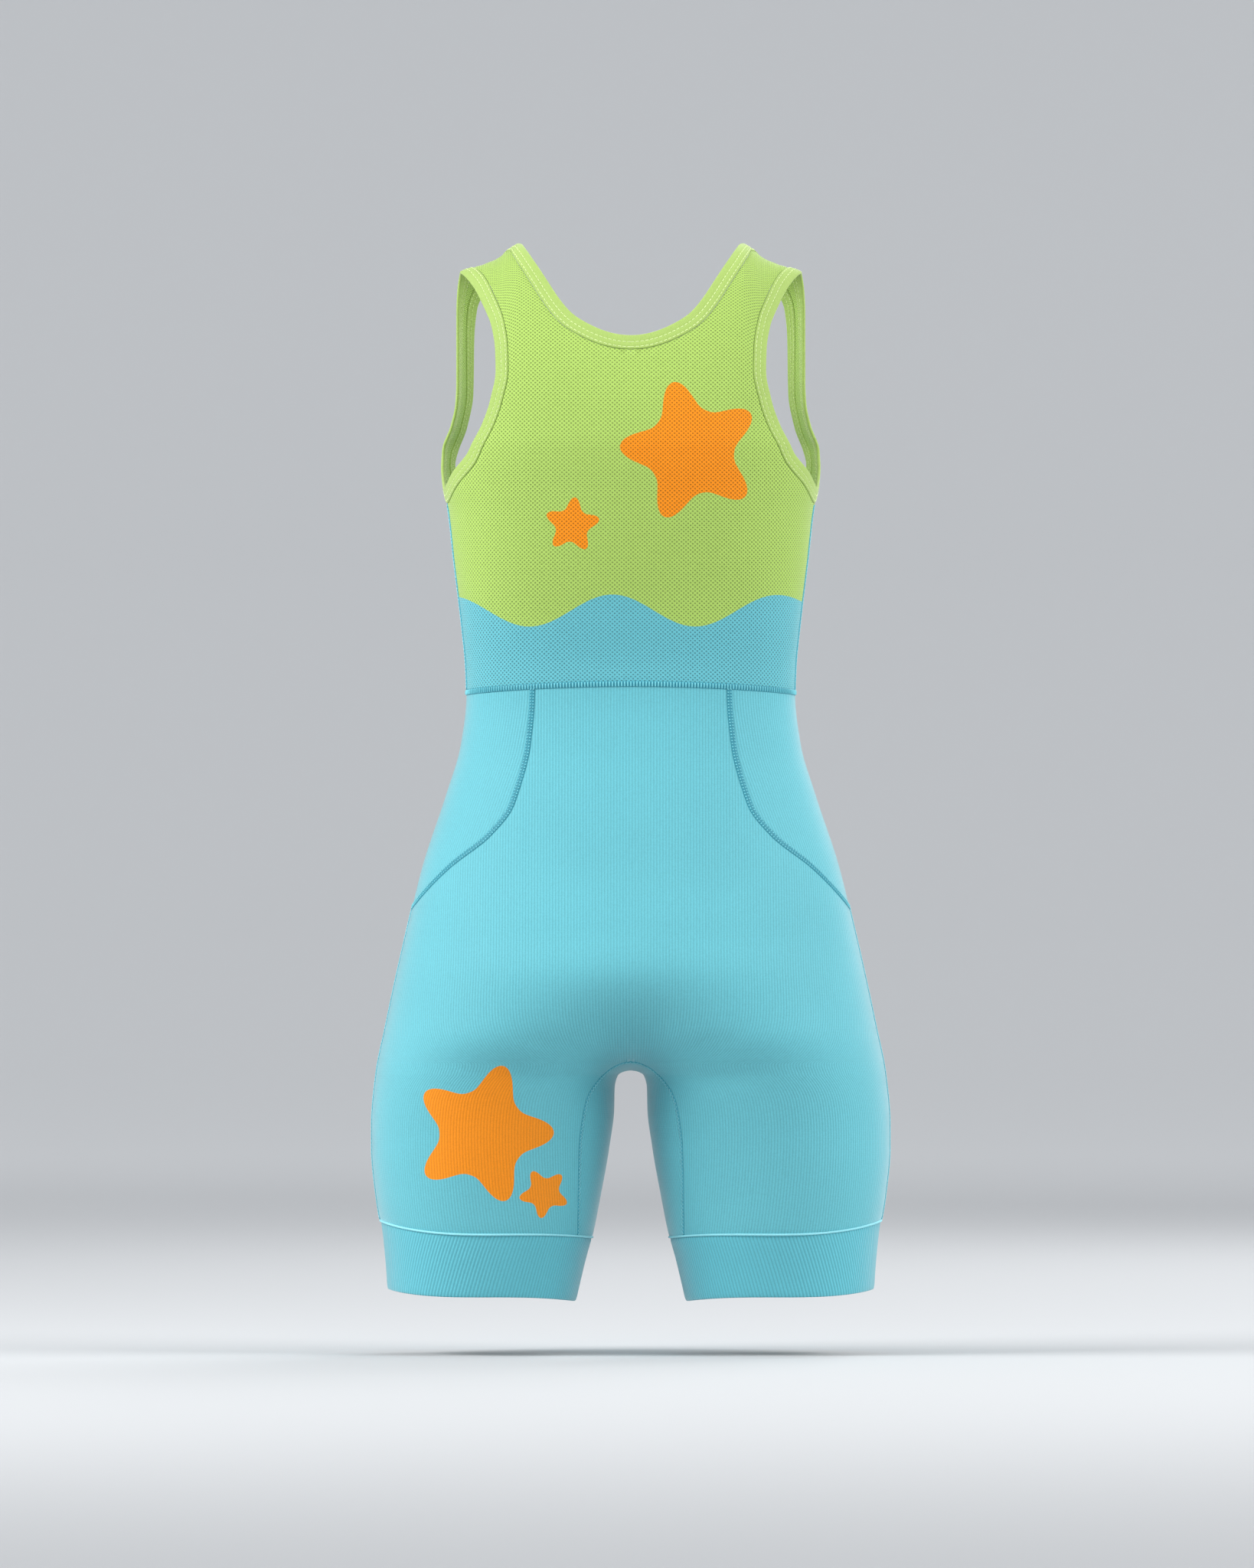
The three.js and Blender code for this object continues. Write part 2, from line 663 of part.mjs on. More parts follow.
// The line where the gusset reaches furthest between the legs
function ridgePlace(row) {
  const lift = (CROTCH_ROW - ARCH_ROW) * (1 - smoothstep(row, ARCH_ROW, ARCH_ROW + 60));
  const drop = rowDrop(row, -QUARTER) + lift;
  let low = 0;
  let high = (halfWidth(drop) + legGap(drop)) / 2;
  for (let step = 0; step < 40 && row > ARCH_ROW; step += 1) {
    const middle = (low + high) / 2;
    if (outside(middle, 0, drop) > 0) low = middle;
    else high = middle;
  }
  return new THREE.Vector3(low, 0, -drop);
}

function gussetRow(row) {
  const back = lowerPoint(backAngle(row, gussetX(row)), row).p;
  const front = lowerPoint(frontAngle(row, gussetX(row)), row).p;
  const origin = back.clone().add(front).divideScalar(2);
  const toBack = back.clone().sub(origin);
  const toRidge = ridgePlace(row).sub(origin);
  const place = (turn) => {
    const ray = toBack.clone().multiplyScalar(Math.cos(turn)).addScaledVector(toRidge, Math.sin(turn));
    return castRay(origin, ray);
  };
  return spread(place, 0, Math.PI, { start: GUSSET_GAP, end: GUSSET_GAP });
}

function gusset() {
  const right = legRows.map(gussetRow);
  const left = right.slice(1).map((row) => row.map(mirrorPoint)).reverse();
  return skin([...left, ...right]);
}

function cuff() {
  const rows = easedValues(CUFF_ROW + SEAM_GAP / 2, HEM_ROW, 3).map((row) => {
    const points = spread((angle) => lowerPoint(angle, row), -QUARTER, 3 * QUARTER, { cell: CUFF_CELL });
    return points.map(({ p, n }) => ({ p: p.clone().addScaledVector(n, -CUFF_SET_IN), n }));
  });
  return skin(rows);
}

const mirrored = (triangles) => triangles.map((triangle) => triangle.map(mirrorPoint));

const singlet = new THREE.Group();

function addPiece(name, triangles, wall, color, roughness) {
  const material = new THREE.MeshStandardMaterial({ color, roughness, metalness: 0 });
  const mesh = new THREE.Mesh(thicken(triangles, wall), material);
  mesh.name = name;
  singlet.add(mesh);
}

addPiece('back_bodice', backBodice(), PANEL_WALL, LIME, 0.85);
addPiece('front_bodice', frontBodice(), PANEL_WALL, AQUA, 0.85);
addPiece('neck_binding', neckBinding(), BINDING_WALL, LIME_LIGHT, 0.7);
addPiece('armhole_binding_right', armholeBinding(), BINDING_WALL, LIME_LIGHT, 0.7);
addPiece('armhole_binding_left', mirrored(armholeBinding()), BINDING_WALL, LIME_LIGHT, 0.7);
addPiece('back_lower', lowerPanel(false), PANEL_WALL, AQUA, 0.6);
addPiece('front_lower', lowerPanel(true), PANEL_WALL, AQUA, 0.6);
addPiece('side_panel_right', sidePanel(), PANEL_WALL, AQUA, 0.6);
addPiece('side_panel_left', mirrored(sidePanel()), PANEL_WALL, AQUA, 0.6);
addPiece('gusset', gusset(), PANEL_WALL, AQUA, 0.6);
addPiece('leg_cuff_right', cuff(), CUFF_WALL, AQUA_DEEP, 0.75);
addPiece('leg_cuff_left', mirrored(cuff()), CUFF_WALL, AQUA_DEEP, 0.75);

export default singlet;
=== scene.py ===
"""The looks of a wrestling singlet, filled out as when it is worn, built around its fixed frame."""

import math

import bpy
import numpy as np
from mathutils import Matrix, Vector, kdtree


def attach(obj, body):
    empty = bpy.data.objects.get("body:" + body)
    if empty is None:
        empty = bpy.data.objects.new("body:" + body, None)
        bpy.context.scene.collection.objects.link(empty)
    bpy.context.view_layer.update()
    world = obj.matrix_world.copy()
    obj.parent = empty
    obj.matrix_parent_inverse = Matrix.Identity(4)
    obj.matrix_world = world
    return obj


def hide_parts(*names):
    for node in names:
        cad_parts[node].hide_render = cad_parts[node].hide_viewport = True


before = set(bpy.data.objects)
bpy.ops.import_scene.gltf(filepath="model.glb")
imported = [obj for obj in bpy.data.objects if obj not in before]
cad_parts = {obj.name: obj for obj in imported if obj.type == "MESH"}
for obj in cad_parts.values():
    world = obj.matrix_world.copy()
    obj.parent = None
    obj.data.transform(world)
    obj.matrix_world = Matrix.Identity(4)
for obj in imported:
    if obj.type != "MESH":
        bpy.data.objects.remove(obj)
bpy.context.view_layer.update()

MM = 0.001

# Driving sizes, in millimetres as on the frame's own pieces
PANEL_WALL = 1.6
BINDING_WALL = 2.6
CUFF_WALL = 2.2
CUFF_SET_IN = 0.6
SEAM_GAP = 0.3
GUSSET_GAP = 0.45
BINDING_WIDTH = 12.0

# Rows are levels below the shoulder line
NECK_BACK_ROW = 74.0
NECK_FRONT_ROW = 264.0
ARMHOLE_ROW = 193.0
WAIST_ROW = 347.5
HIP_TIP_ROW = 523.5
ARCH_ROW = 644.0
CROTCH_ROW = 651.0
CUFF_ROW = 779.0
HEM_ROW = 828.8

# How far the seams leave those levels
WAIST_DIP = 6.5
WAIST_DIP_REACH = 80.0
CUFF_MEAN = -2.6
CUFF_TILT = 6.5
CUFF_SAG = 3.0
CUFF_BEND_REACH = 80.0
HEM_TILT = 4.7

# The shoulder's rounding
SHOULDER_HEIGHT = 130.0
SHOULDER_LEVEL_ROW = 150.0
SHOULDER_SEAM = math.radians(12)
SHOULDER_GAP = 0.75

# Squareness of a cross section: 2 is an ellipse
TORSO_POWER = 2.35
LEG_POWER = 2.1

# Where the one hollow of the hips turns into two legs
LEGS_BEGIN = 540.0
LEGS_APART = 640.0
CROTCH_BLEND = 36.0

QUARTER = math.pi / 2
SIDE_SEAM = math.radians(83)

# Drop, half width, depth behind and depth in front of the side line
BODY = [
    (0, 137.2, 80, 82),
    (105, 137.2, 92, 94),
    (124, 138, 95, 98),
    (144, 142, 98, 103),
    (163, 148.6, 100, 107),
    (173, 148.8, 100, 109),
    (192, 147, 99, 111),
    (211, 143.2, 97.5, 110.5),
    (250, 138.8, 93, 107),
    (298, 133, 85.5, 99),
    (337, 129.3, 81, 94),
    (356, 128.8, 81, 93),
    (395, 133.2, 85, 94),
    (433, 144.3, 92, 96),
    (491, 163.4, 105, 100),
    (540, 175.3, 118, 102),
    (578, 184, 125.5, 101),
    (617, 192.3, 120, 98.5),
    (655, 199.9, 105.5, 95.5),
    (694, 203.2, 97, 93),
    (713, 203.2, 94.5, 91.5),
    (752, 199.6, 90.5, 88),
    (781, 195, 87.5, 85),
    (821, 191.6, 83, 80.5),
    (840, 191, 81.5, 79),
]

# Drop and half the space between the legs
LEG_GAP = [
    (540, -110),
    (570, -75),
    (600, -42),
    (620, -22),
    (635, -8),
    (645, 3),
    (651, 9),
    (655, 12.2),
    (665, 14),
    (684, 14.4),
    (713, 17.8),
    (752, 24.8),
    (781, 30.6),
    (800, 35.8),
    (840, 45.2),
]

# Distance from the middle and height of the shoulder's top line
SHOULDER_TOP = [
    (60, 0),
    (84, -0.5),
    (88, -0.8),
    (92, -2.8),
    (98, -7),
    (102, -10.6),
    (107, -13.6),
    (113, -15.9),
    (117, -17.6),
    (123, -19.1),
    (131, -21.4),
    (135, -23.8),
    (137.2, -26),
    (150, -27.5),
]

# Row and distance from the middle of the bindings' free edges and of the seams
NECK_BACK = [
    (0, 88),
    (0.8, 85.5),
    (2.2, 84.2),
    (4.1, 83),
    (8, 80.2),
    (12, 77.6),
    (18, 73.5),
    (28, 67),
    (47, 54.5),
    (57, 45.5),
    (66, 31),
    (NECK_BACK_ROW, 0),
]
NECK_FRONT = [
    (0, 88),
    (1.5, 91),
    (4, 96),
    (10, 105),
    (19, 114),
    (34, 121.5),
    (60, 124),
    (115, 125),
    (144, 130),
    (163, 137),
    (174, 139.5),
    (184, 138),
    (200, 130),
    (230, 99),
    (250, 60),
    (NECK_FRONT_ROW, 0),
]
ARMHOLE_BACK = [
    (0, 134.5),
    (10, 127.5),
    (20, 122),
    (44, 113),
    (56, 109.5),
    (78, 106.5),
    (99, 106),
    (120, 109.5),
    (143, 116.5),
    (163, 126.5),
    (182, 140.5),
]
ARMHOLE_FRONT = [
    (0, 134.5),
    (12, 136),
    (30, 136.6),
    (105, 136.6),
    (124, 137.4),
    (144, 141.3),
    (163, 147.9),
    (176, 148.5),
]
HIP_SEAM = [(WAIST_ROW, 77), (399, 81), (442, 93), (466, 111), (490, 141)]
GUSSET_SEAM = [(ARCH_ROW, 0), (653, 20.5), (677, 35.6), (713, 40.4), (CUFF_ROW, 41.8)]


def smooth_curve(rows):
    """A curve through (at, value) rows that never overshoots them."""
    at, value = np.array(rows, float).T
    slope = np.diff(value) / np.diff(at)
    product = slope[:-1] * slope[1:]
    total = slope[:-1] + slope[1:]
    inner = np.where(product > 0, 2 * product / np.where(total == 0, 1, total), 0)
    tangent = np.concatenate([slope[:1], inner, slope[-1:]])

    def curve(x):
        x = np.clip(x, at[0], at[-1])
        i = np.clip(np.searchsorted(at, x, side="right") - 1, 0, len(at) - 2)
        width = at[i + 1] - at[i]
        t = (x - at[i]) / width
        rise = t * t * (3 - 2 * t)
        bow = t * (1 - t) * width * ((1 - t) * tangent[i] - t * tangent[i + 1])
        return value[i] * (1 - rise) + value[i + 1] * rise + bow

    return curve


def root(square, at):
    """The value whose square a curve gives, for edges that turn round at a row."""
    return np.sqrt(np.maximum(square(at), 0))


def column(table, index):
    return smooth_curve([(row[0], row[index]) for row in table])


half_width = column(BODY, 1)
back_depth = column(BODY, 2)
front_depth = column(BODY, 3)
leg_gap = smooth_curve(LEG_GAP)
shoulder_top = smooth_curve(SHOULDER_TOP)


def smoothstep(x, low, high):
    t = np.clip((np.asarray(x, float) - low) / (high - low), 0, 1)
    return t * t * (3 - 2 * t)


def leg_share(drop):
    return smoothstep(drop, LEGS_BEGIN, LEGS_APART)


def row_drop(row, angle):
    """The real drop of a point on a row, once the waist, cuff and hem seams have bent it."""
    side = np.sin(angle)
    waist = 1 - smoothstep(np.abs(row - WAIST_ROW), 0, WAIST_DIP_REACH)
    cuff = smoothstep(row, CUFF_ROW - CUFF_BEND_REACH, CUFF_ROW)
    hem = smoothstep(row, CUFF_ROW, HEM_ROW)
    tilt = side**3
    cuff_bend = CUFF_MEAN - CUFF_TILT * tilt + CUFF_SAG * (1 - side * side)
    hem_bend = -HEM_TILT * tilt
    return row + WAIST_DIP * side * side * waist + (cuff_bend * (1 - hem) + hem_bend * hem) * cuff


def oval(dx, rx, y, depth, power):
    total = np.abs(dx / rx) ** power + np.abs(y / depth) ** power
    return rx * (total ** (1 / power) - 1)


def outside(p):
    """How far outside the garment each point of the hips or legs is; below nought is inside."""
    x, y, drop = p[..., 0], p[..., 1], -p[..., 2]
    half = half_width(drop)
    depth = np.where(y < 0, back_depth(drop), front_depth(drop))
    torso = oval(x, half, y, depth, TORSO_POWER)
    share = leg_share(drop)
    gap = leg_gap(drop)
    centre = (half + gap) / 2
    reach = (half - gap) / 2
    near = oval(np.abs(x) - centre, reach, y, depth, LEG_POWER)
    far = oval(np.abs(x) + centre, reach, y, depth, LEG_POWER)
    mix = np.maximum(CROTCH_BLEND - (far - near), 0) / CROTCH_BLEND
    legs = near - mix * mix * CROTCH_BLEND / 4
    return torso * (1 - share) + legs * share


def halved(holds, low, high, rounds):
    """The ends of each span, brought together round the place where the test stops holding."""
    for _ in range(rounds):
        middle = (low + high) / 2
        held = holds(middle)
        low = np.where(held, middle, low)
        high = np.where(held, high, middle)
    return low, high


# Where a ray starts its walk out of the garment, and its steps, as shares of the ray
RAY_START = 0.4
RAY_STRIDE = 0.02
RAY_STEPS = 65


def cast_rays(origin, ray):
    """Where rays from inside first leave the garment's surface."""

    def inside(share):
        return outside(origin + ray * share[..., None]) < 0

    share = np.full(origin.shape[:-1], RAY_START)
    moving = np.ones(share.shape, bool)
    for _ in range(RAY_STEPS):
        moving &= inside(share)
        if not moving.any():
            break
        share = share + RAY_STRIDE * moving
    low, high = halved(inside, share - RAY_STRIDE, share, 16)
    return origin + ray * ((low + high) / 2)[..., None]


def unit(vectors):
    return vectors / np.maximum(np.linalg.norm(vectors, axis=-1, keepdims=True), 1e-12)


def surface_normals(p):
    step = 0.05
    slopes = []
    for axis in np.eye(3) * step:
        slopes.append(outside(p + axis) - outside(p - axis))
    return unit(np.stack(slopes, -1))


def lower_place(angle, row):
    """Points of the hips or the right leg. Angle 0 is the back, a quarter turn is the side."""
    angle, row = np.broadcast_arrays(np.asarray(angle, float), np.asarray(row, float))
    drop = row_drop(row, angle)
    half = half_width(drop)
    centre = leg_share(drop) * (half + leg_gap(drop)) / 2
    depth = np.where(np.cos(angle) > 0, back_depth(drop), front_depth(drop))
    origin = np.stack([centre, np.zeros_like(centre), -drop], -1)
    ray = np.stack([(half - centre) * np.sin(angle), -depth * np.cos(angle), np.zeros_like(centre)], -1)
    return cast_rays(origin, ray)


def angle_at_x(rows, x, low, high):
    """The angles of the rows' points at given distances from the middle."""
    near, far = np.full(np.shape(rows), low), np.full(np.shape(rows), high)
    near, far = halved(lambda angle: lower_place(angle, rows)[..., 0] < x, near, far, 30)
    return (near + far) / 2


def row_of_path(path):
    length = np.abs(path)
    quarter = SHOULDER_HEIGHT * QUARTER
    turned = SHOULDER_HEIGHT * (1 - np.cos(np.minimum(length, quarter) / SHOULDER_HEIGHT))
    return turned + np.maximum(length - quarter, 0)


def path_of_row(row):
    turned = SHOULDER_HEIGHT * np.arccos(1 - np.minimum(row, SHOULDER_HEIGHT) / SHOULDER_HEIGHT)
    return turned + np.maximum(row - SHOULDER_HEIGHT, 0)


def bodice_place(angle, path):
    """Points of the bodice. The path is 0 on the shoulder's crest, minus on the back, plus on the front."""
    row = row_of_path(path)
    drop = row_drop(row, angle)
    sine, cosine = np.sin(angle), np.cos(angle)
    radius = (np.abs(sine) ** TORSO_POWER + np.abs(cosine) ** TORSO_POWER) ** (-1 / TORSO_POWER)
    lift = np.clip(1 - row / SHOULDER_HEIGHT, 0, 1)
    cap = np.sqrt(1 - lift**2)
    x = half_width(drop) * radius * sine
    reach = np.sign(path) * radius * cosine * cap
    y = reach * np.where(reach < 0, back_depth(drop), front_depth(drop))
    level = 1 - smoothstep(row, 0, SHOULDER_LEVEL_ROW)
    return np.stack([x, y, -drop + shoulder_top(np.abs(x)) * level], -1)


def bodice_normals(angle, path):
    turn, walk = 1e-4, 0.05
    across = bodice_place(angle + turn, path) - bodice_place(angle - turn, path)
    along = bodice_place(angle, path + walk) - bodice_place(angle, path - walk)
    n = unit(np.cross(across, along))
    p = bodice_place(angle, path)
    outward = np.stack([p[..., 0], p[..., 1], np.full(p.shape[:-1], 100.0)], -1)
    return n * np.where((n * outward).sum(-1, keepdims=True) < 0, -1, 1)


def bodice_angle(row, x):
    share = np.minimum(x / half_width(row), 1)
    return np.arctan2(share, (1 - share**TORSO_POWER) ** (1 / TORSO_POWER))


def bodice_nearest(place, angle, path):
    """The bodice's angles and paths nearest to some places, from starting guesses."""
    turn, walk = 1e-4, 0.02
    for _ in range(12):
        here = bodice_place(angle, path)
        error = place - here
        across = (bodice_place(angle + turn, path) - here) / turn
        along = (bodice_place(angle, path + walk) - here) / walk
        aa, bb, ab = (across * across).sum(-1), (along * along).sum(-1), (across * along).sum(-1)
        ea, eb = (error * across).sum(-1), (error * along).sum(-1)
        determinant = aa * bb - ab * ab
        angle = angle + (ea * bb - eb * ab) / determinant
        path = path + (eb * aa - ea * ab) / determinant
    return angle, path


def beside(line, distance, closed):
    """A line of (angle, path) points moved sideways on the bodice; plus is right, going up the back."""
    angle, path = line
    p = bodice_place(angle, path)
    if closed:
        tangent = np.roll(p, -1, 0) - np.roll(p, 1, 0)
    else:
        tangent = np.gradient(p, axis=0)
    away = unit(np.cross(bodice_normals(angle, path), tangent))
    return bodice_nearest(p + away * distance, angle, path)


# How many steps each half of a free edge is worked out in
EDGE_SAMPLES = 300


def edge_paths(row):
    """Paths from a row up to the shoulder's crest, closest together at the row."""
    t = np.arange(EDGE_SAMPLES + 1) / EDGE_SAMPLES
    return path_of_row(row) * (1 - t * t)


def armhole_edge():
    halves = []
    for table, seam, side in ((ARMHOLE_BACK, SIDE_SEAM, -1), (ARMHOLE_FRONT, math.pi - SIDE_SEAM, 1)):
        rows = [(row, (seam - bodice_angle(row, x)) ** 2) for row, x in table]
        square = smooth_curve([*rows, (ARMHOLE_ROW, 0)])
        path = edge_paths(ARMHOLE_ROW)
        halves.append((seam - root(square, row_of_path(path)), side * path))
    back, front = halves
    return tuple(np.concatenate([b, f[::-1][1:-1]]) for b, f in zip(back, front))


def neck_edge():
    halves = []
    for table, end, side in ((NECK_BACK, NECK_BACK_ROW, -1), (NECK_FRONT, NECK_FRONT_ROW, 1)):
        square = smooth_curve([(row, x * x) for row, x in table])
        path = edge_paths(end)
        row = row_of_path(path)
        halves.append((bodice_angle(row, root(square, row)), side * path))
    back, front = halves
    return tuple(np.concatenate([b, f[::-1][1:]]) for b, f in zip(back, front))


class Rails:
    """Lines at any distance in from a free edge, as angles and paths that share one count of samples."""

    def __init__(self, free, closed, sign):
        self.free = free
        self.closed = closed
        self.sign = sign
        self.lines = {}

    def line(self, distance):
        if distance not in self.lines:
            angle, path = self.free
            if distance:
                angle, path = beside(self.free, self.sign * distance, self.closed)
            if self.closed:
                angle = np.append(angle, math.pi - angle[0])
                path = np.append(path, -path[0])
            else:
                angle = np.concatenate([[0], angle[1:-1], [0]])
            self.lines[distance] = (angle, path)
        return self.lines[distance]

    def index_at(self, path):
        line_path = np.maximum.accumulate(self.line(CUT)[1])
        return np.interp(path, line_path, np.arange(len(line_path)))

    def angle_at(self, path):
        angle = self.line(CUT)[0]
        return np.interp(self.index_at(path), np.arange(len(angle)), angle)

    def at(self, distance, index):
        angle, path = self.line(distance)
        samples = np.arange(len(angle))
        return np.interp(index, samples, angle), np.interp(index, samples, path)


CUT = BINDING_WIDTH + SEAM_GAP
armhole = Rails(armhole_edge(), True, 1)
neck = Rails(neck_edge(), False, -1)


def eased(start, end, count, power=1.0):
    """Values from start to end, closest together at the start."""
    return start + (end - start) * (np.arange(count + 1) / count) ** power


# Distances from a seam at which a panel has extra lines of points, for the dip beside the stitching
EDGE_STOPS = np.array([0, 0.5, 1.2, 2.2, 3.4])
EDGE_SPAN = 4.6

# How finely a row is sampled when its length is measured
ROW_SAMPLES = 97


def stops(length, count):
    """Places along a row of a given length: close together at its ends and even between them."""
    scale = min(1, length / (3 * EDGE_SPAN))
    first = EDGE_STOPS * scale
    middle = np.linspace(EDGE_SPAN * scale, length - EDGE_SPAN * scale, count)
    return np.concatenate([first, middle, length - first[::-1]])


def line_lengths(p):
    return np.concatenate([[0], np.cumsum(np.linalg.norm(np.diff(p, axis=0), axis=1))])


def row_lengths(p):
    across = np.linalg.norm(np.diff(p, axis=1), axis=-1)
    return np.concatenate([np.zeros((len(p), 1)), np.cumsum(across, 1)], 1)


def spread_rows(place, rows, inner, outer, count, trim_in, trim_out):
    """A grid of angles, even along each row of a surface between two angles."""
    angles = inner[:, None] + (outer - inner)[:, None] * np.linspace(0, 1, ROW_SAMPLES)
    lengths = row_lengths(place(angles, rows[:, None]))
    grid = []
    for i in range(len(rows)):
        span = lengths[i, -1] - trim_in[i] - trim_out[i]
        grid.append(np.interp(trim_in[i] + stops(span, count), lengths[i], angles[i]))
    return np.array(grid), np.repeat(rows[:, None], len(grid[0]), 1)


FLIP = np.array([-1.0, 1, 1])


class Patch:
    """A grid of points on a surface, with its normals, its lengths along the cloth and its wall each way."""

    def __init__(self, points, normals, uv, wall):
        self.points = points
        self.normals = normals
        self.uv = uv
        self.out = np.full(points.shape[:2], wall / 2)
        self.inn = np.full(points.shape[:2], wall / 2)

    def mirrored(self):
        points, normals, uv = self.points[:, ::-1], self.normals[:, ::-1], self.uv[:, ::-1]
        twin = Patch(points * FLIP, normals * FLIP, uv * FLIP[:2], 0)
        twin.out, twin.inn = self.out[:, ::-1], self.inn[:, ::-1]
        return twin


def both(parts):
    """Patches or seam lines of the right side, then the same of the left."""
    return parts + [part.mirrored() for part in parts]


def patch_of(p, n, starts, levels, wall):
    u = row_lengths(p) + np.asarray(starts, float).reshape(-1, 1)
    v = np.repeat(np.asarray(levels, float)[:, None], p.shape[1], 1)
    return Patch(p, n, np.stack([u, v], -1), wall)


def arc_from_middle(place, angles, rows):
    """How far along each row of a surface an angle is from angle 0."""
    t = np.linspace(0, 1, 40)
    return row_lengths(place(angles[:, None] * t, rows[:, None]))[:, -1]


def with_seam_rows(values):
    """The values with the last ones set closer together, as at a seam."""
    end = values[-1]
    side = np.sign(values[0] - end)
    return np.concatenate([values[np.abs(values - end) > EDGE_SPAN + 1], end + side * EDGE_STOPS[::-1]])


# Paths of the bodice's rows, closest together where a round edge ends
armhole_end = -armhole.line(CUT)[1][0]
neck_back_end = -neck.line(CUT)[1][0]
neck_front_end = neck.line(CUT)[1][-1]
waist_end = path_of_row(WAIST_ROW - SEAM_GAP / 2)
shoulder_end = SHOULDER_HEIGHT * SHOULDER_SEAM
BODICE_COLUMNS = 34


def bodice_patch(paths, from_middle, seam):
    none = np.zeros(len(paths))
    inner = none if from_middle else neck.angle_at(paths)
    beyond = np.abs(paths) >= armhole_end - 1e-6
    outer = np.where(beyond, seam, armhole.angle_at(paths))
    trim = np.where(beyond, SEAM_GAP / 2, 0.0)
    angle, path = spread_rows(bodice_place, paths, inner, outer, BODICE_COLUMNS, none, trim)
    starts = none if from_middle else arc_from_middle(bodice_place, inner, paths)
    return patch_of(bodice_place(angle, path), bodice_normals(angle, path), starts, paths, PANEL_WALL)


def joined_rows(first, second):
    """One patch of two whose columns match, with the first's rows before the second's."""
    pairs = ((first.points, second.points), (first.normals, second.normals), (first.uv, second.uv))
    return Patch(*map(np.concatenate, pairs), PANEL_WALL)


def back_bodice():
    strap = eased(-neck_back_end, shoulder_end, 50, 1.5)
    first = bodice_patch(strap[:1], True, SIDE_SEAM)
    straps = joined_rows(first, bodice_patch(strap[1:], False, SIDE_SEAM))
    blade = eased(-armhole_end, -neck_back_end, 32, 1.5)[::-1]
    lower = with_seam_rows(eased(-armhole_end, -waist_end, 36))
    body = bodice_patch(np.concatenate([blade, lower[1:]]), True, SIDE_SEAM)
    return both([straps, body])


def front_bodice():
    seam = math.pi - SIDE_SEAM
    strap = eased(armhole_end, shoulder_end + SHOULDER_GAP, 60, 1.4)[::-1]
    side = eased(neck_front_end, armhole_end, 30, 1.6)[::-1]
    last = bodice_patch(side[-1:], True, seam)
    straps = joined_rows(bodice_patch(np.concatenate([strap, side[1:-1]]), False, seam), last)
    body = bodice_patch(with_seam_rows(eased(neck_front_end, waist_end, 18)), True, seam)
    return both([straps, body])


# A binding's cross section: distances from its free edge, its folded edges and its two stitched grooves
BINDING_STOPS = np.array(
    [12, 11.8, 11.3, 10.6, 10.2, 9.8, 9.2, 8.2, 7.2, 6.4, 6, 5.6, 4.8, 3.6, 2.4, 1.4, 0.8, 0.4, 0.12, 0]
)
BINDING_SPACING = 4.0
STITCH_LINES = (10.2, 6.0)
GROOVE = 0.34
GROOVE_REACH = 0.7
FREE_FOLD = 1.3
SEAM_FOLD = 0.9
SEAM_EDGE = 0.35


def fold(distance, radius):
    """The share of the full thickness at a distance from a folded edge."""
    t = np.clip(distance / radius, 0, 1)
    return np.sqrt(1 - (1 - t) ** 2)


def binding_patch(rails):
    free_angle, free_path = rails.line(0)
    lengths = line_lengths(bodice_place(free_angle, free_path))
    count = round(lengths[-1] / BINDING_SPACING)
    along = np.linspace(0, lengths[-1], count + 1)
    index = np.interp(along, lengths, np.arange(len(lengths)))
    places, normals = [], []
    for distance in BINDING_STOPS:
        angle, path = rails.at(distance, index)
        places.append(bodice_place(angle, path))
        normals.append(bodice_normals(angle, path))
    p, n = np.stack(places, 1), np.stack(normals, 1)
    if rails.closed:
        p[-1], n[-1] = p[0], n[0]
    else:
        p[[0, -1], :, 0] = 0
    uv = np.stack(np.broadcast_arrays(BINDING_STOPS[None, :], along[:, None]), -1)
    patch = Patch(p, n, uv, BINDING_WALL)
    seam_side = SEAM_EDGE + (1 - SEAM_EDGE) * fold(BINDING_WIDTH - BINDING_STOPS, SEAM_FOLD)
    wall = BINDING_WALL / 2 * (fold(BINDING_STOPS, FREE_FOLD) * seam_side)
    grooves = sum(GROOVE * np.exp(-(((BINDING_STOPS - line) / GROOVE_REACH) ** 2)) for line in STITCH_LINES)
    patch.out = np.broadcast_to(wall - grooves, p.shape[:2]).copy()
    patch.inn = np.broadcast_to(wall, p.shape[:2]).copy()
    return patch


def hip_square_curve():
    rows, x = np.array(HIP_SEAM, float).T
    square = (QUARTER - angle_at_x(rows, x, -QUARTER, QUARTER)) ** 2
    return smooth_curve([*zip(rows, square), (HIP_TIP_ROW, 0)])


hip_square = hip_square_curve()
gusset_square = smooth_curve([(row, x * x) for row, x in GUSSET_SEAM])


def hip_angle(row):
    return QUARTER - root(hip_square, row)


def gusset_x(row):
    return np.where(row <= ARCH_ROW, 0, root(gusset_square, row))


def seam_angle(row, front):
    """The angle at which a lower panel's inner edge lies: the middle line, or the gusset's seam."""
    inner_side = 3 * QUARTER if front else -QUARTER
    return angle_at_x(row, gusset_x(row), inner_side, QUARTER)


LOWER_COLUMNS = 40
hip_rows = with_seam_rows(eased(HIP_TIP_ROW, WAIST_ROW + SEAM_GAP / 2, 46, 1.5))[::-1]
seat_rows = eased(HIP_TIP_ROW, ARCH_ROW, 34)
leg_rows = with_seam_rows(eased(ARCH_ROW, CUFF_ROW - SEAM_GAP / 2, 44, 1.5))


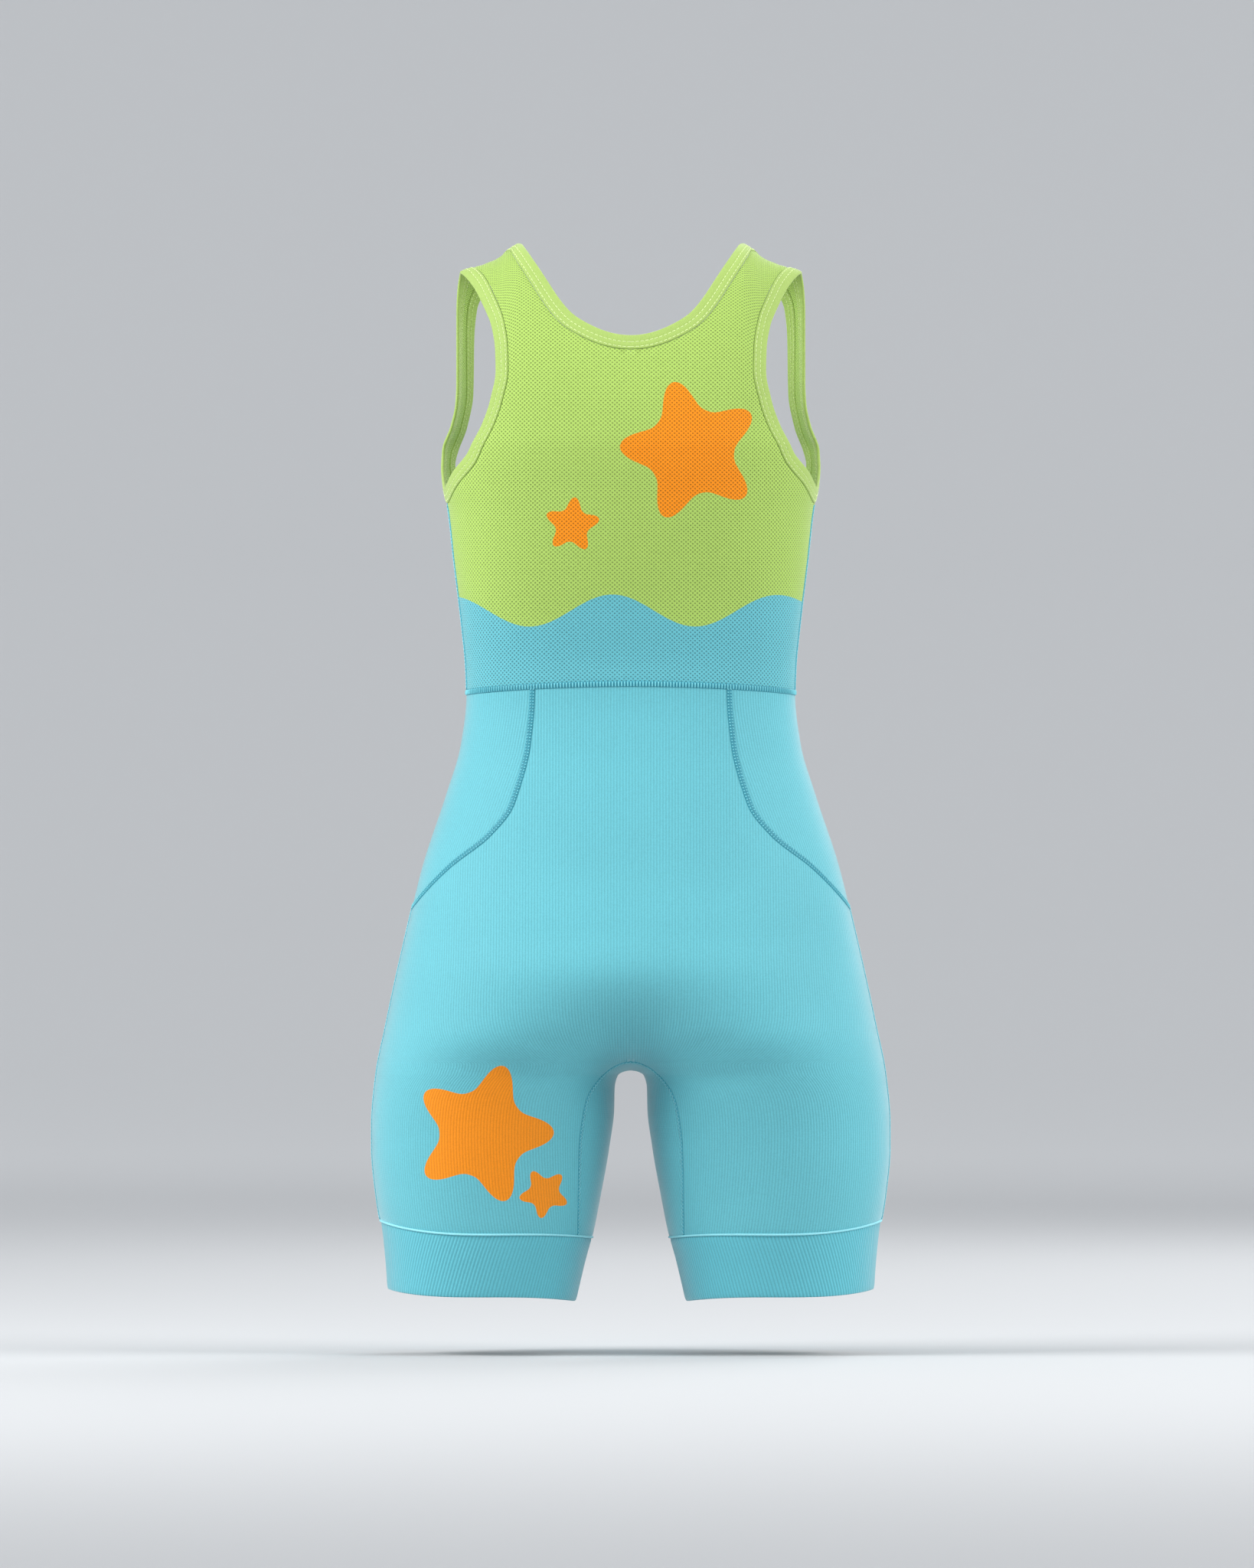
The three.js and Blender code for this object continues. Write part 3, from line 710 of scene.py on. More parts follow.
def lower_patch(rows, front):
    at_hip = rows < HIP_TIP_ROW
    outer = np.where(at_hip, hip_angle(rows), QUARTER)
    if front:
        outer = math.pi - outer
    none = np.zeros(len(rows))
    trim = np.where(at_hip, 0.0, SEAM_GAP / 2)
    inner = seam_angle(rows, front)
    angle, row = spread_rows(lower_place, rows, inner, outer, LOWER_COLUMNS, none, trim)
    p = lower_place(angle, row)
    return patch_of(p, surface_normals(p), gusset_x(rows), -rows, PANEL_WALL)


def lower_panel(front):
    upper_rows = np.concatenate([hip_rows, seat_rows[1:]])
    return both([lower_patch(upper_rows, front), lower_patch(leg_rows, front)])


def slant_gap(rows):
    """The share of a seam's gap that each row crosses when the seam runs aslant to it."""
    seam = unit(lower_place(hip_angle(rows + 1), rows + 1) - lower_place(hip_angle(rows - 1), rows - 1))
    angle = hip_angle(rows)
    along = unit(lower_place(angle + 0.01, rows) - lower_place(angle - 0.01, rows))
    return SEAM_GAP / np.linalg.norm(np.cross(seam, along), axis=-1)


def side_panel():
    rows = hip_rows[:-1]
    trim = slant_gap(np.maximum(rows, WAIST_ROW + 2))
    inner = hip_angle(rows)
    angle, row = spread_rows(lower_place, rows, inner, math.pi - inner, 30, trim, trim)
    p = lower_place(angle, row)
    n = surface_normals(p)
    tip = lower_place(QUARTER, HIP_TIP_ROW - 2 * SEAM_GAP)
    p = np.concatenate([p, np.broadcast_to(tip, (1, p.shape[1], 3))])
    n = np.concatenate([n, np.broadcast_to(surface_normals(tip), (1, p.shape[1], 3))])
    half = row_lengths(p)[:, p.shape[1] // 2]
    return patch_of(p, n, -half, -np.append(rows, HIP_TIP_ROW), PANEL_WALL)


def ridge_places(rows):
    """The line where the gusset reaches furthest between the legs."""
    lift = (CROTCH_ROW - ARCH_ROW) * (1 - smoothstep(rows, ARCH_ROW, ARCH_ROW + 60))
    drop = row_drop(rows, -QUARTER) + lift

    def place(x):
        return np.stack([x, np.zeros_like(x), -drop], -1)

    middle_of_leg = np.where(rows > ARCH_ROW, (half_width(drop) + leg_gap(drop)) / 2, 0)
    low, _ = halved(lambda x: outside(place(x)) > 0, np.zeros(len(rows)), middle_of_leg, 40)
    return place(np.where(rows > ARCH_ROW, low, 0))


GUSSET_COLUMNS = 26


def gusset_patch():
    back = lower_place(seam_angle(leg_rows, False), leg_rows)
    front = lower_place(seam_angle(leg_rows, True), leg_rows)
    origin = (back + front) / 2
    to_back, to_ridge = back - origin, ridge_places(leg_rows) - origin

    def place(turn, at):
        at = np.broadcast_to(at, turn.shape)
        ray = to_back[at] * np.cos(turn)[..., None] + to_ridge[at] * np.sin(turn)[..., None]
        return cast_rays(origin[at], ray)

    rows = np.arange(len(leg_rows))
    inner = np.zeros(len(rows))
    gap = np.full(len(rows), GUSSET_GAP)
    turn, at = spread_rows(place, rows, inner, inner + math.pi, GUSSET_COLUMNS, gap, gap)
    p = place(turn, at)
    half = row_lengths(p)[:, p.shape[1] // 2]
    return patch_of(p, surface_normals(p), -half, -leg_rows, PANEL_WALL)


CUFF_COLUMNS = 121
HEM_FOLD = 1.1
HEM_EDGE = 0.2


def cuff_patch():
    top = CUFF_ROW + SEAM_GAP / 2
    rows = eased(HEM_ROW, top, 13)[::-1]
    rows = np.concatenate([top + EDGE_STOPS, rows[2:-1], HEM_ROW - EDGE_STOPS[::-1] * 0.5])
    angles = np.linspace(-QUARTER, 3 * QUARTER, CUFF_COLUMNS)
    lengths = row_lengths(lower_place(angles, rows[:, None]))
    even = [np.interp(np.linspace(0, span[-1], CUFF_COLUMNS), span, angles) for span in lengths]
    p = lower_place(np.array(even), rows[:, None])
    n = surface_normals(p)
    p = p - n * CUFF_SET_IN
    p[:, -1], n[:, -1] = p[:, 0], n[:, 0]
    patch = patch_of(p, n, np.zeros(len(rows)), -rows, CUFF_WALL)
    edge = HEM_EDGE + (1 - HEM_EDGE) * fold(HEM_ROW - rows, HEM_FOLD)[:, None]
    patch.out = patch.out * edge
    patch.inn = patch.inn * edge
    return patch


# Points that round to the same place, at this many steps to the millimetre, are sewn into one
MERGE_STEPS = 500


class Cloth:
    """One sewn piece: points, normals, walls, lengths along the cloth and faces."""

    def __init__(self, patches):
        faces, start = [], 0
        for patch in patches:
            rows, columns = patch.points.shape[:2]
            index = start + np.arange(rows * columns).reshape(rows, columns)
            quads = np.stack([index[:-1, :-1], index[:-1, 1:], index[1:, 1:], index[1:, :-1]], -1)
            faces.append(quads.reshape(-1, 4))
            start += rows * columns
        faces = np.concatenate(faces)
        points = np.concatenate([patch.points.reshape(-1, 3) for patch in patches])
        keys = np.round(points * MERGE_STEPS).astype(np.int64)
        _, first, merged = np.unique(keys, axis=0, return_index=True, return_inverse=True)
        self.points = points[first]
        self.normals = np.concatenate([patch.normals.reshape(-1, 3) for patch in patches])[first]
        self.out = np.concatenate([patch.out.ravel() for patch in patches])[first]
        self.inn = np.concatenate([patch.inn.ravel() for patch in patches])[first]
        self.face_uv = np.concatenate([patch.uv.reshape(-1, 2) for patch in patches])[faces]
        self.faces = merged.reshape(-1)[faces]
        self.turn_faces_out()

    def turn_faces_out(self):
        a, b, c, d = (self.points[self.faces[:, i]] for i in range(4))
        facing = np.cross(c - a, d - b)
        wrong = (facing * self.normals[self.faces].sum(1)).sum(-1) < 0
        self.faces[wrong] = self.faces[wrong][:, ::-1]
        self.face_uv[wrong] = self.face_uv[wrong][:, ::-1]

    def polygons(self):
        """The faces, with repeated corners left out, and their corners' lengths along the cloth."""
        made = []
        for face, uv in zip(self.faces.tolist(), self.face_uv):
            kept = [i for i in range(4) if face[i] != face[i - 1]]
            if len(kept) >= 3:
                made.append(([face[i] for i in kept], uv[kept]))
        return made


def rim_edges(polygons):
    edges = {edge for polygon, _ in polygons for edge in zip(polygon, polygon[1:] + polygon[:1])}
    return [edge for edge in edges if (edge[1], edge[0]) not in edges]


def distances_to_rim(points, rim):
    """How far each point is from the nearest point of the rim."""
    ends = sorted({i for edge in rim for i in edge})
    tree = kdtree.KDTree(len(ends))
    for i in ends:
        tree.insert(points[i], i)
    tree.balance()
    return np.array([tree.find(point)[2] for point in points])


def new_object(name, vertices, faces, material):
    mesh = bpy.data.meshes.new(name)
    mesh.from_pydata((np.asarray(vertices) * MM).tolist(), [], faces)
    mesh.materials.append(material)
    mesh.polygons.foreach_set("use_smooth", [True] * len(mesh.polygons))
    mesh.update()
    obj = bpy.data.objects.new(name, mesh)
    bpy.context.scene.collection.objects.link(obj)
    return obj


# How deep a sheet's face dips beside its seams, and how far in
SEAM_DIP = 0.45
SEAM_DIP_REACH = 2.0

# Added to the sideways lengths of a piece's inner face, in whole patterns, so that its print can differ
INSIDE_SHIFT = 3600.0


def sew(name, node, patches, material, dip=SEAM_DIP):
    """Makes one piece: two faces of cloth joined round their rim, in place of the frame's node."""
    cloth = Cloth(patches)
    polygons = cloth.polygons()
    rim = rim_edges(polygons)
    out = cloth.out + creases(cloth.points)
    inn = cloth.inn - creases(cloth.points)
    if dip:
        out = out - dip * np.exp(-((distances_to_rim(cloth.points, rim) / SEAM_DIP_REACH) ** 2))
    outer = cloth.points + cloth.normals * out[:, None]
    inner = cloth.points - cloth.normals * inn[:, None]
    count = len(outer)
    faces, uvs, corner_uv = [], [], {}
    for polygon, uv in polygons:
        faces.append(polygon)
        uvs.extend(uv)
        corner_uv.update(zip(polygon, uv))
    for polygon, uv in polygons:
        faces.append([i + count for i in reversed(polygon)])
        uvs.extend(uv[::-1] + (INSIDE_SHIFT, 0))
    for a, b in rim:
        faces.append([b, a, a + count, b + count])
        uvs.extend([corner_uv[b], corner_uv[a], corner_uv[a], corner_uv[b]])
    obj = new_object(name, np.concatenate([outer, inner]), faces, material)
    layer = obj.data.uv_layers.new(name="cloth")
    layer.data.foreach_set("uv", (np.array(uvs) * MM).ravel())
    obj.data.set_sharp_from_angle(angle=math.radians(50))
    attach(obj, "root")
    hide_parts(node)
    return obj


# Soft creases: ends by distance from the middle and height, which side they are on, depth and width
CREASES = [
    ((24, -640), (104, -618), -1, 0.7, 9),
    ((34, -662), (120, -652), -1, 0.6, 8),
    ((22, -628), (70, -588), 1, 0.7, 9),
    ((34, -655), (112, -628), 1, 0.6, 9),
    ((128, -330), (96, -318), 1, 0.4, 7),
    ((60, -372), (92, -392), 1, 0.4, 8),
]


def creases(points):
    """How far the cloth is pushed in by soft creases; the same on both sides of the middle."""
    x, y, z = np.abs(points[:, 0]), points[:, 1], points[:, 2]
    push = np.zeros(len(points))
    for (x0, z0), (x1, z1), side, depth, width in CREASES:
        run = np.array([x1 - x0, z1 - z0])
        t = ((x - x0) * run[0] + (z - z0) * run[1]) / (run @ run)
        away = np.hypot(x - x0 - t * run[0], z - z0 - t * run[1])
        taper = smoothstep(t, -0.15, 0.3) * (1 - smoothstep(t, 0.6, 1.15))
        push -= depth * np.exp(-((away / width) ** 2)) * taper * (y * side > 0)
    return push


class SeamLine:
    """A line on the garment that stitches follow, with the surface's normal at each of its points."""

    def __init__(self, points, normals, closed=False):
        self.points = points
        self.normals = normals
        self.closed = closed

    def even(self, step):
        """The same line in even steps: points, normals and sideways directions."""
        lengths = line_lengths(self.points)
        count = max(2, round(lengths[-1] / step))
        at = np.linspace(0, lengths[-1], count + 1)
        p = np.stack([np.interp(at, lengths, self.points[:, i]) for i in range(3)], -1)
        n = unit(np.stack([np.interp(at, lengths, self.normals[:, i]) for i in range(3)], -1))
        if self.closed:
            tangent = np.roll(p[:-1], -1, 0) - np.roll(p[:-1], 1, 0)
            tangent = np.concatenate([tangent, tangent[:1]])
            n[-1] = n[0]
        else:
            tangent = np.gradient(p, axis=0)
        return p, n, unit(np.cross(n, tangent))

    def once(self, step):
        """As even, without the last point of a closed line, which repeats the first."""
        return [row[:-1] if self.closed else row for row in self.even(step)]

    def mirrored(self):
        return SeamLine(self.points * FLIP, self.normals * FLIP, self.closed)

    def then(self, other):
        return SeamLine(
            np.concatenate([self.points, other.points[1:]]),
            np.concatenate([self.normals, other.normals[1:]]),
            self.closed,
        )

    def backwards(self):
        return SeamLine(self.points[::-1], self.normals[::-1], self.closed)


def strip_faces(rows, columns, closed):
    """Faces of a grid of points, joined round its columns, and round its rows when it is closed."""
    index = np.arange(rows * columns).reshape(rows, columns)
    down = np.concatenate([index[1:], index[:1]]) if closed else index[1:]
    here = index if closed else index[:-1]
    quads = np.stack([here, down, np.roll(down, -1, 1), np.roll(here, -1, 1)], -1)
    return quads.reshape(-1, 4).tolist()


def trim_piece(name, vertices, faces, material):
    obj = new_object(name, vertices, faces, material)
    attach(obj, "root")
    return obj


# A seam cover's cross section, as shares of its width and height, and its step and ripple along the seam
COVER_ACROSS = np.array([-0.5, -0.43, -0.22, 0, 0.22, 0.43, 0.5, 0.3, -0.3])
COVER_UP = np.array([0.15, 0.8, 0.97, 1, 0.97, 0.8, 0.15, 0, 0])
COVER_STEP = 1.5
COVER_RIPPLE = 2.4


def cover(name, line, width, height, material, ripple=0.0):
    """The flat raised cover of a seam: a low band swept along the line, half sunk in the cloth."""
    p, n, side = line.once(COVER_STEP)
    across = COVER_ACROSS * width
    up = COVER_UP * (PANEL_WALL / 2 + height)
    waves = 1 + ripple * np.sin(np.arange(len(p)) * COVER_RIPPLE)[:, None, None]
    grid = p[:, None] + side[:, None] * across[None, :, None] + n[:, None] * up[None, :, None] * waves
    faces = strip_faces(len(p), len(across), line.closed)
    if not line.closed:
        last = (len(p) - 1) * len(across)
        faces.append(list(range(len(across))))
        faces.append([last + i for i in reversed(range(len(across)))])
    return trim_piece(name, grid.reshape(-1, 3), faces, material)


def tubes(centres, normals, sides, radius, count=5):
    """Round threads through rows of points: a vertex array and its faces, closed at both ends."""
    strands, steps = centres.shape[:2]
    turn = np.arange(count) * 2 * math.pi / count
    ring = normals[:, :, None] * np.cos(turn)[:, None] + sides[:, :, None] * np.sin(turn)[:, None]
    points = centres[:, :, None] + ring * radius
    template = strip_faces(steps, count, False)
    template.append(list(range(count)))
    template.append([(steps - 1) * count + i for i in reversed(range(count))])
    starts = [strand * steps * count for strand in range(strands)]
    faces = [[start + i for i in face] for start in starts for face in template]
    return points.reshape(-1, 3), faces


# How far along a stitch its bends are, and how high each stands against the stitch's middle
STITCH_SHARES = np.array([0, 0.12, 0.5, 0.88, 1])
STITCH_BOW = np.array([-0.45, -0.05, 0.06, -0.05, -0.45])
BAR_SHARES = np.array([-1, -0.8, 0, 0.8, 1])
DASH_STEPS = 8


def dashes(lines, pitch, length, lift, radius):
    """Short straight stitches along lines, each bowed up out of the cloth."""
    parts = []
    for line in lines:
        p, n, side = line.even(pitch / DASH_STEPS)
        starts = np.arange(0, len(p) - DASH_STEPS, DASH_STEPS)
        at = starts[:, None] + STITCH_SHARES * (length / pitch * DASH_STEPS)
        first = np.minimum(at.astype(int), len(p) - 2)
        share = (at - first)[..., None]
        centre = p[first] * (1 - share) + p[first + 1] * share
        parts.append((centre + n[first] * (lift + STITCH_BOW)[:, None], n[first], side[first]))
    centres, normals, sides = (np.concatenate(arrays) for arrays in zip(*parts))
    return tubes(centres, normals, sides, radius)


def bars(line, shifts, pitch, reach, lift, radius):
    """Short threads straight across a line, side by side, each bowed up out of the cloth."""
    p, n, side = line.once(pitch)
    across = BAR_SHARES * reach
    normals = np.repeat(n[:, None], len(across), 1)
    along = np.repeat(np.cross(n, side)[:, None], len(across), 1)
    rise = normals * (lift + STITCH_BOW)[:, None]
    centres = [p[:, None] + side[:, None] * (across + shift)[:, None] + rise for shift in shifts]
    parts = [(centre, normals, along) for centre in centres]
    return tubes(*(np.concatenate(arrays) for arrays in zip(*parts)), radius)


def zigzag(line, pitch, reach, lift, radius):
    """One thread that runs to and fro across a line, as a cover stitch does."""
    p, n, side = line.even(pitch / 4)
    swing = np.resize([0, 1, 0, -1], len(p)) * reach
    rise = np.resize([0.1, -0.1], len(p)) + lift
    centres = p + side * swing[:, None] + n * rise[:, None]
    return tubes(centres[None], n[None], side[None], radius, 4)


def lower_line(angles, rows, closed=False):
    p = lower_place(angles, rows)
    return SeamLine(p, surface_normals(p), closed)


def bodice_line(angles, paths):
    return SeamLine(bodice_place(angles, paths), bodice_normals(angles, paths))


# How many points the lines of stitches are first drawn with
LOOP_SAMPLES = 181
CUFF_SAMPLES = 241
RAIL_SAMPLES = 1200
OUTSEAM_SAMPLES = 120
SIDE_SAMPLES = 80
SHOULDER_SAMPLES = 60


def waist_line():
    angles = np.linspace(0, math.pi, LOOP_SAMPLES)
    right = lower_line(angles, np.full(LOOP_SAMPLES, WAIST_ROW))
    right.points[[0, -1], 0] = 0
    line = right.then(right.mirrored().backwards())
    line.closed = True
    return line


def hip_line():
    rows = eased(HIP_TIP_ROW, WAIST_ROW + 2, 70, 1.6)[::-1]
    angle = hip_angle(rows)
    return lower_line(angle, rows).then(lower_line(math.pi - angle, rows).backwards())


def gusset_line(front):
    rows = eased(ARCH_ROW, CUFF_ROW - 1, 60, 1.6)
    right = lower_line(seam_angle(rows, front), rows)
    right.points[0, 0] = 0
    return right.mirrored().backwards().then(right)


def outseam_line():
    rows = np.linspace(HIP_TIP_ROW + 1, CUFF_ROW - 1, OUTSEAM_SAMPLES)
    return lower_line(np.full(OUTSEAM_SAMPLES, QUARTER), rows)


def cuff_line():
    angles = np.linspace(-QUARTER, 3 * QUARTER, CUFF_SAMPLES)
    return lower_line(angles, np.full(CUFF_SAMPLES, CUFF_ROW), closed=True)


def side_line():
    paths = np.linspace(-armhole_end - 1, -waist_end + 2, SIDE_SAMPLES)
    return bodice_line(np.full(SIDE_SAMPLES, SIDE_SEAM), paths)


def shoulder_line():
    path = shoulder_end + SHOULDER_GAP / 2
    inner, outer = neck.angle_at(path), armhole.angle_at(path)
    angles = np.linspace(inner + 0.01, outer - 0.01, SHOULDER_SAMPLES)
    return bodice_line(angles, np.full(SHOULDER_SAMPLES, path))


def rail_line(rails, distance):
    """A line along a binding at a distance from its free edge."""
    index = np.linspace(0, len(rails.line(0)[0]) - 1, RAIL_SAMPLES)
    line = bodice_line(*rails.at(distance, index))
    line.closed = rails.closed
    return line


def linear(*levels):
    """A colour of red, green and blue levels up to 255, as the shader takes it."""
    channels = [level / 255 for level in levels]
    return [c / 12.92 if c <= 0.04045 else ((c + 0.055) / 1.055) ** 2.4 for c in channels]


LIME = linear(174, 207, 102)
LIME_BAND = linear(168, 196, 104)
LIME_DEEP = linear(150, 186, 80)
AQUA = linear(106, 191, 203)
AQUA_DEEP = linear(101, 190, 204)
THREAD_AQUA = linear(165, 230, 238)
THREAD_LIME = linear(222, 240, 170)
ORANGE = linear(248, 146, 20)


# Scales of the noise that makes cloth uneven, in the cuffs' ribs and in the thread's twist
BROAD_MOTTLE = 9.0
FINE_MOTTLE = 900.0
RIB_MOTTLE = 260.0
THREAD_TWIST = 1800.0


class Shader:
    """Builds one material's nodes with little writing."""

    def __init__(self, name, colour, roughness, sheen):
        self.material = bpy.data.materials.new(name)
        self.material.use_nodes = True
        self.material.diffuse_color = (*colour, 1)
        self.nodes = self.material.node_tree.nodes
        self.links = self.material.node_tree.links
        self.surface = self.nodes["Principled BSDF"]
        looks = {
            "Base Color": (*colour, 1),
            "Roughness": roughness,
            "Specular IOR Level": 0.22,
            "Sheen Weight": sheen,
            "Sheen Roughness": 0.35,
            "Sheen Tint": (*[0.8 + 0.2 * c for c in colour], 1),
        }
        for name, look in looks.items():
            self.surface.inputs[name].default_value = look

    def node(self, kind, inputs, operation=None):
        """A new node, with its inputs given as values or as other nodes' outputs."""
        node = self.nodes.new(f"ShaderNode{kind}")
        if operation:
            node.operation = operation
        for name, given in inputs.items():
            if hasattr(given, "links"):
                self.links.new(given, node.inputs[name])
            else:
                node.inputs[name].default_value = given
        return node

    def math(self, operation, a, b=0.0):
        return self.node("Math", {0: a, 1: b}, operation).outputs[0]

    def plus(self, a, b):
        return self.math("ADD", a, b)

    def minus(self, a, b):
        return self.math("SUBTRACT", a, b)

    def times(self, a, b):
        return self.math("MULTIPLY", a, b)

    def cloth_lengths(self):
        """How far across and along its piece of cloth a place is, in metres."""
        uv = self.node("UVMap", {})
        uv.uv_map = "cloth"
        return self.node("SeparateXYZ", {0: uv.outputs[0]}).outputs[:2]

    def object_place(self):
        return self.node("TexCoord", {}).outputs["Object"]

    def place(self):
        return self.node("SeparateXYZ", {0: self.object_place()}).outputs

    def wave(self, along, pitch, shift=0.0):
        """A cosine with a pitch in metres."""
        turned = self.times(along, 2 * math.pi / pitch)
        return self.math("COSINE", self.plus(turned, shift))

    def step(self, given, low, high):
        """Nought below low, one above high and smooth between them."""
        node = self.node("MapRange", {"Value": given, "From Min": low, "From Max": high})
        node.interpolation_type = "SMOOTHSTEP"
        return node.outputs["Result"]

    def noise(self, scale, detail=2.0):
        inputs = {"Vector": self.object_place(), "Scale": scale, "Detail": detail}
        return self.node("TexNoise", inputs).outputs[0]

    def blend(self, share, first, second):
        """The first colour where share is nought and the second where it is one."""
        first, second = (c if hasattr(c, "links") else (*c, 1) for c in (first, second))
        node = self.node("Mix", {0: share, 6: first, 7: second})
        node.data_type = "RGBA"
        return node.outputs[2]

    def shade(self, colour, share, strength):
        """The colour made darker where share is one."""
        dark = self.minus(1.0, self.times(share, strength))
        return self.node("VectorMath", {0: colour, "Scale": dark}, "SCALE").outputs[0]

    def bump(self, height, metres, strength=0.8):
        node = self.node("Bump", {"Strength": strength, "Distance": metres, "Height": height})
        self.links.new(node.outputs[0], self.surface.inputs["Normal"])

    def finish(self, colour, share):
        """Sets the colour with the cloth's own slight unevenness."""
        broad = self.step(self.noise(BROAD_MOTTLE), 0.3, 0.75)
        fine = self.step(self.noise(FINE_MOTTLE, 1.0), 0.35, 0.7)
        toned = self.shade(self.shade(colour, broad, 0.05), fine, share)
        self.links.new(toned, self.surface.inputs["Base Color"])
        return self.material


# A star's radius between and at its points, as shares of its full radius, and the softness of a print's edge
STAR_MIDDLE = 0.76
STAR_POINTS = 0.2
STAR_SHARPNESS = 0.07
PRINT_BLUR = 0.00015


def star(shader, x, z, centre, radius, turn):
    """One inside a round-cornered five-pointed star and nought outside it."""
    dx = shader.minus(x, centre[0])
    dz = shader.minus(z, centre[1])
    reach = shader.math("SQRT", shader.plus(shader.times(dx, dx), shader.times(dz, dz)))
    angle = shader.plus(shader.math("ARCTAN2", dx, dz), turn)
    points = shader.math("COSINE", shader.times(angle, 5.0))
    sharp = shader.times(shader.times(points, points), STAR_SHARPNESS * radius)
    edge = shader.plus(shader.times(points, STAR_POINTS * radius), sharp)
    edge = shader.plus(edge, STAR_MIDDLE * radius)
    return shader.step(shader.minus(edge, reach), -PRINT_BLUR, PRINT_BLUR)


def starred(shader, place, colour, stars):
    """The colour with stars printed on it, on the outer face of the back alone."""
    x, y, z = place
    for centre, radius, turn in stars:
        u, _ = shader.cloth_lengths()
        outer = shader.math("LESS_THAN", u, INSIDE_SHIFT / 2 * MM)
        back = shader.math("LESS_THAN", y, 0.0)
        mask = shader.times(star(shader, x, z, centre, radius, turn), shader.times(outer, back))
        colour = shader.blend(mask, colour, ORANGE)
    return colour


# The wavy border's height behind and in front, and its length, swing and start
BACK_WAVE = -0.290
FRONT_WAVE = -0.215
WAVE_LENGTH = 0.13
WAVE_SWING = 0.0125
WAVE_START = 0.7

# The knits' pitches across and along the cloth, and the heights of their bumps, in metres
HOLES_ACROSS = 0.0036
HOLES_ALONG = 0.0032
MESH_RIBS = 0.0009
MESH_BUMP = 0.0005
WALES = 0.0024
COURSES = 0.0011
CUFF_RIBS = 0.0028
CUFF_BUMP = 0.00016
BAND_RIBS = 0.0013
FINE_BUMP = 0.00008
THREAD_BUMP = 0.0001


def mesh_knit(name, wave_height, base, stars):
    """Lime above a wavy line and aqua below it, with the mesh's rows of small holes, painted darker as
    painted shade.
    """
    shader = Shader(name, base, 0.78, 0.4)
    x, y, z = shader.place()
    swing = shader.times(shader.wave(x, WAVE_LENGTH, WAVE_START), WAVE_SWING)
    above = shader.minus(shader.minus(z, swing), wave_height)
    colour = shader.blend(shader.step(above, -PRINT_BLUR, PRINT_BLUR), AQUA, LIME)
    colour = starred(shader, (x, y, z), colour, stars)
    u, v = shader.cloth_lengths()
    lattice = shader.times(shader.wave(u, HOLES_ACROSS), shader.wave(v, HOLES_ALONG))
    holes = shader.step(lattice, 0.05, 0.7)
    height = shader.minus(shader.times(shader.wave(u, MESH_RIBS), 0.06), holes)
    shader.bump(height, MESH_BUMP)
    # The holes are painted darker: painted shade in the holes.
    return shader.finish(shader.shade(colour, holes, 0.46), 0.05)


def smooth_knit(name, base, stars=()):
    """Fine upright wales of a close compression knit, with painted shade in the grooves between them."""
    shader = Shader(name, base, 0.6, 0.9)
    colour = starred(shader, shader.place(), base, stars)
    u, v = shader.cloth_lengths()
    wales = shader.wave(u, WALES)
    height = shader.plus(wales, shader.times(shader.wave(v, COURSES), 0.35))
    shader.bump(height, FINE_BUMP)
    # The grooves between the wales are painted darker: painted shade.
    return shader.finish(shader.shade(colour, shader.step(wales, 0.2, -1.0), 0.16), 0.08)


def rib_knit(name, base):
    """The cuffs' upright ribs, with painted shade in the grooves between them."""
    shader = Shader(name, base, 0.7, 0.8)
    u, _ = shader.cloth_lengths()
    ribs = shader.wave(u, CUFF_RIBS)
    height = shader.plus(ribs, shader.times(shader.noise(RIB_MOTTLE), 0.5))
    shader.bump(height, CUFF_BUMP)
    # The grooves between the ribs are painted darker: painted shade.
    return shader.finish(shader.shade(base, shader.step(ribs, 0.1, -1.0), 0.2), 0.06)


def band_knit(name, base):
    """The bindings' folded tricot, with faint painted shade in its grooves."""
    shader = Shader(name, base, 0.66, 0.45)
    _, v = shader.cloth_lengths()
    ribs = shader.wave(v, BAND_RIBS)
    shader.bump(ribs, FINE_BUMP)
    # The grooves of the tricot are painted a little darker: painted shade.
    return shader.finish(shader.shade(base, shader.step(ribs, 0.2, -1.0), 0.05), 0.06)


def thread(name, base):
    """Stitching thread, the seam covers and the cuffs' ridges, with a fine twist."""
    shader = Shader(name, base, 0.5, 0.15)
    shader.bump(shader.noise(THREAD_TWIST, 1.0), THREAD_BUMP, 0.6)
    return shader.finish(base, 0.1)


# Places, sizes and turns of the printed stars
BACK_STARS = [((0.047, -0.165), 0.054, 0.25), ((-0.046, -0.223), 0.021, -0.1)]
LEG_STARS = [((-0.116, -0.700), 0.054, -0.3), ((-0.068, -0.747), 0.019, 0.5)]

back_mesh = mesh_knit("mesh_lime", BACK_WAVE, LIME, BACK_STARS)
front_mesh = mesh_knit("mesh_aqua", FRONT_WAVE, AQUA, ())
knit = smooth_knit("compression_knit", AQUA)
starred_knit = smooth_knit("compression_knit_stars", AQUA, LEG_STARS)
rib = rib_knit("rib_knit", AQUA_DEEP)
band = band_knit("binding", LIME_BAND)
aqua_cover = thread("seam_cover_aqua", linear(82, 172, 189))
dark_cover = thread("seam_cover_dark", linear(62, 148, 165))
seam_thread = thread("thread_seam", linear(122, 206, 217))
# The cuffs' ridges take a pale thread colour that also stands as a painted highlight along the ridge.
ridge_painted_highlight = thread("cuff_ridge_painted_highlight", linear(150, 224, 234))
aqua_thread = thread("thread_aqua", THREAD_AQUA)
lime_cover = thread("seam_cover_lime", LIME_DEEP)
lime_thread = thread("thread_lime", THREAD_LIME)

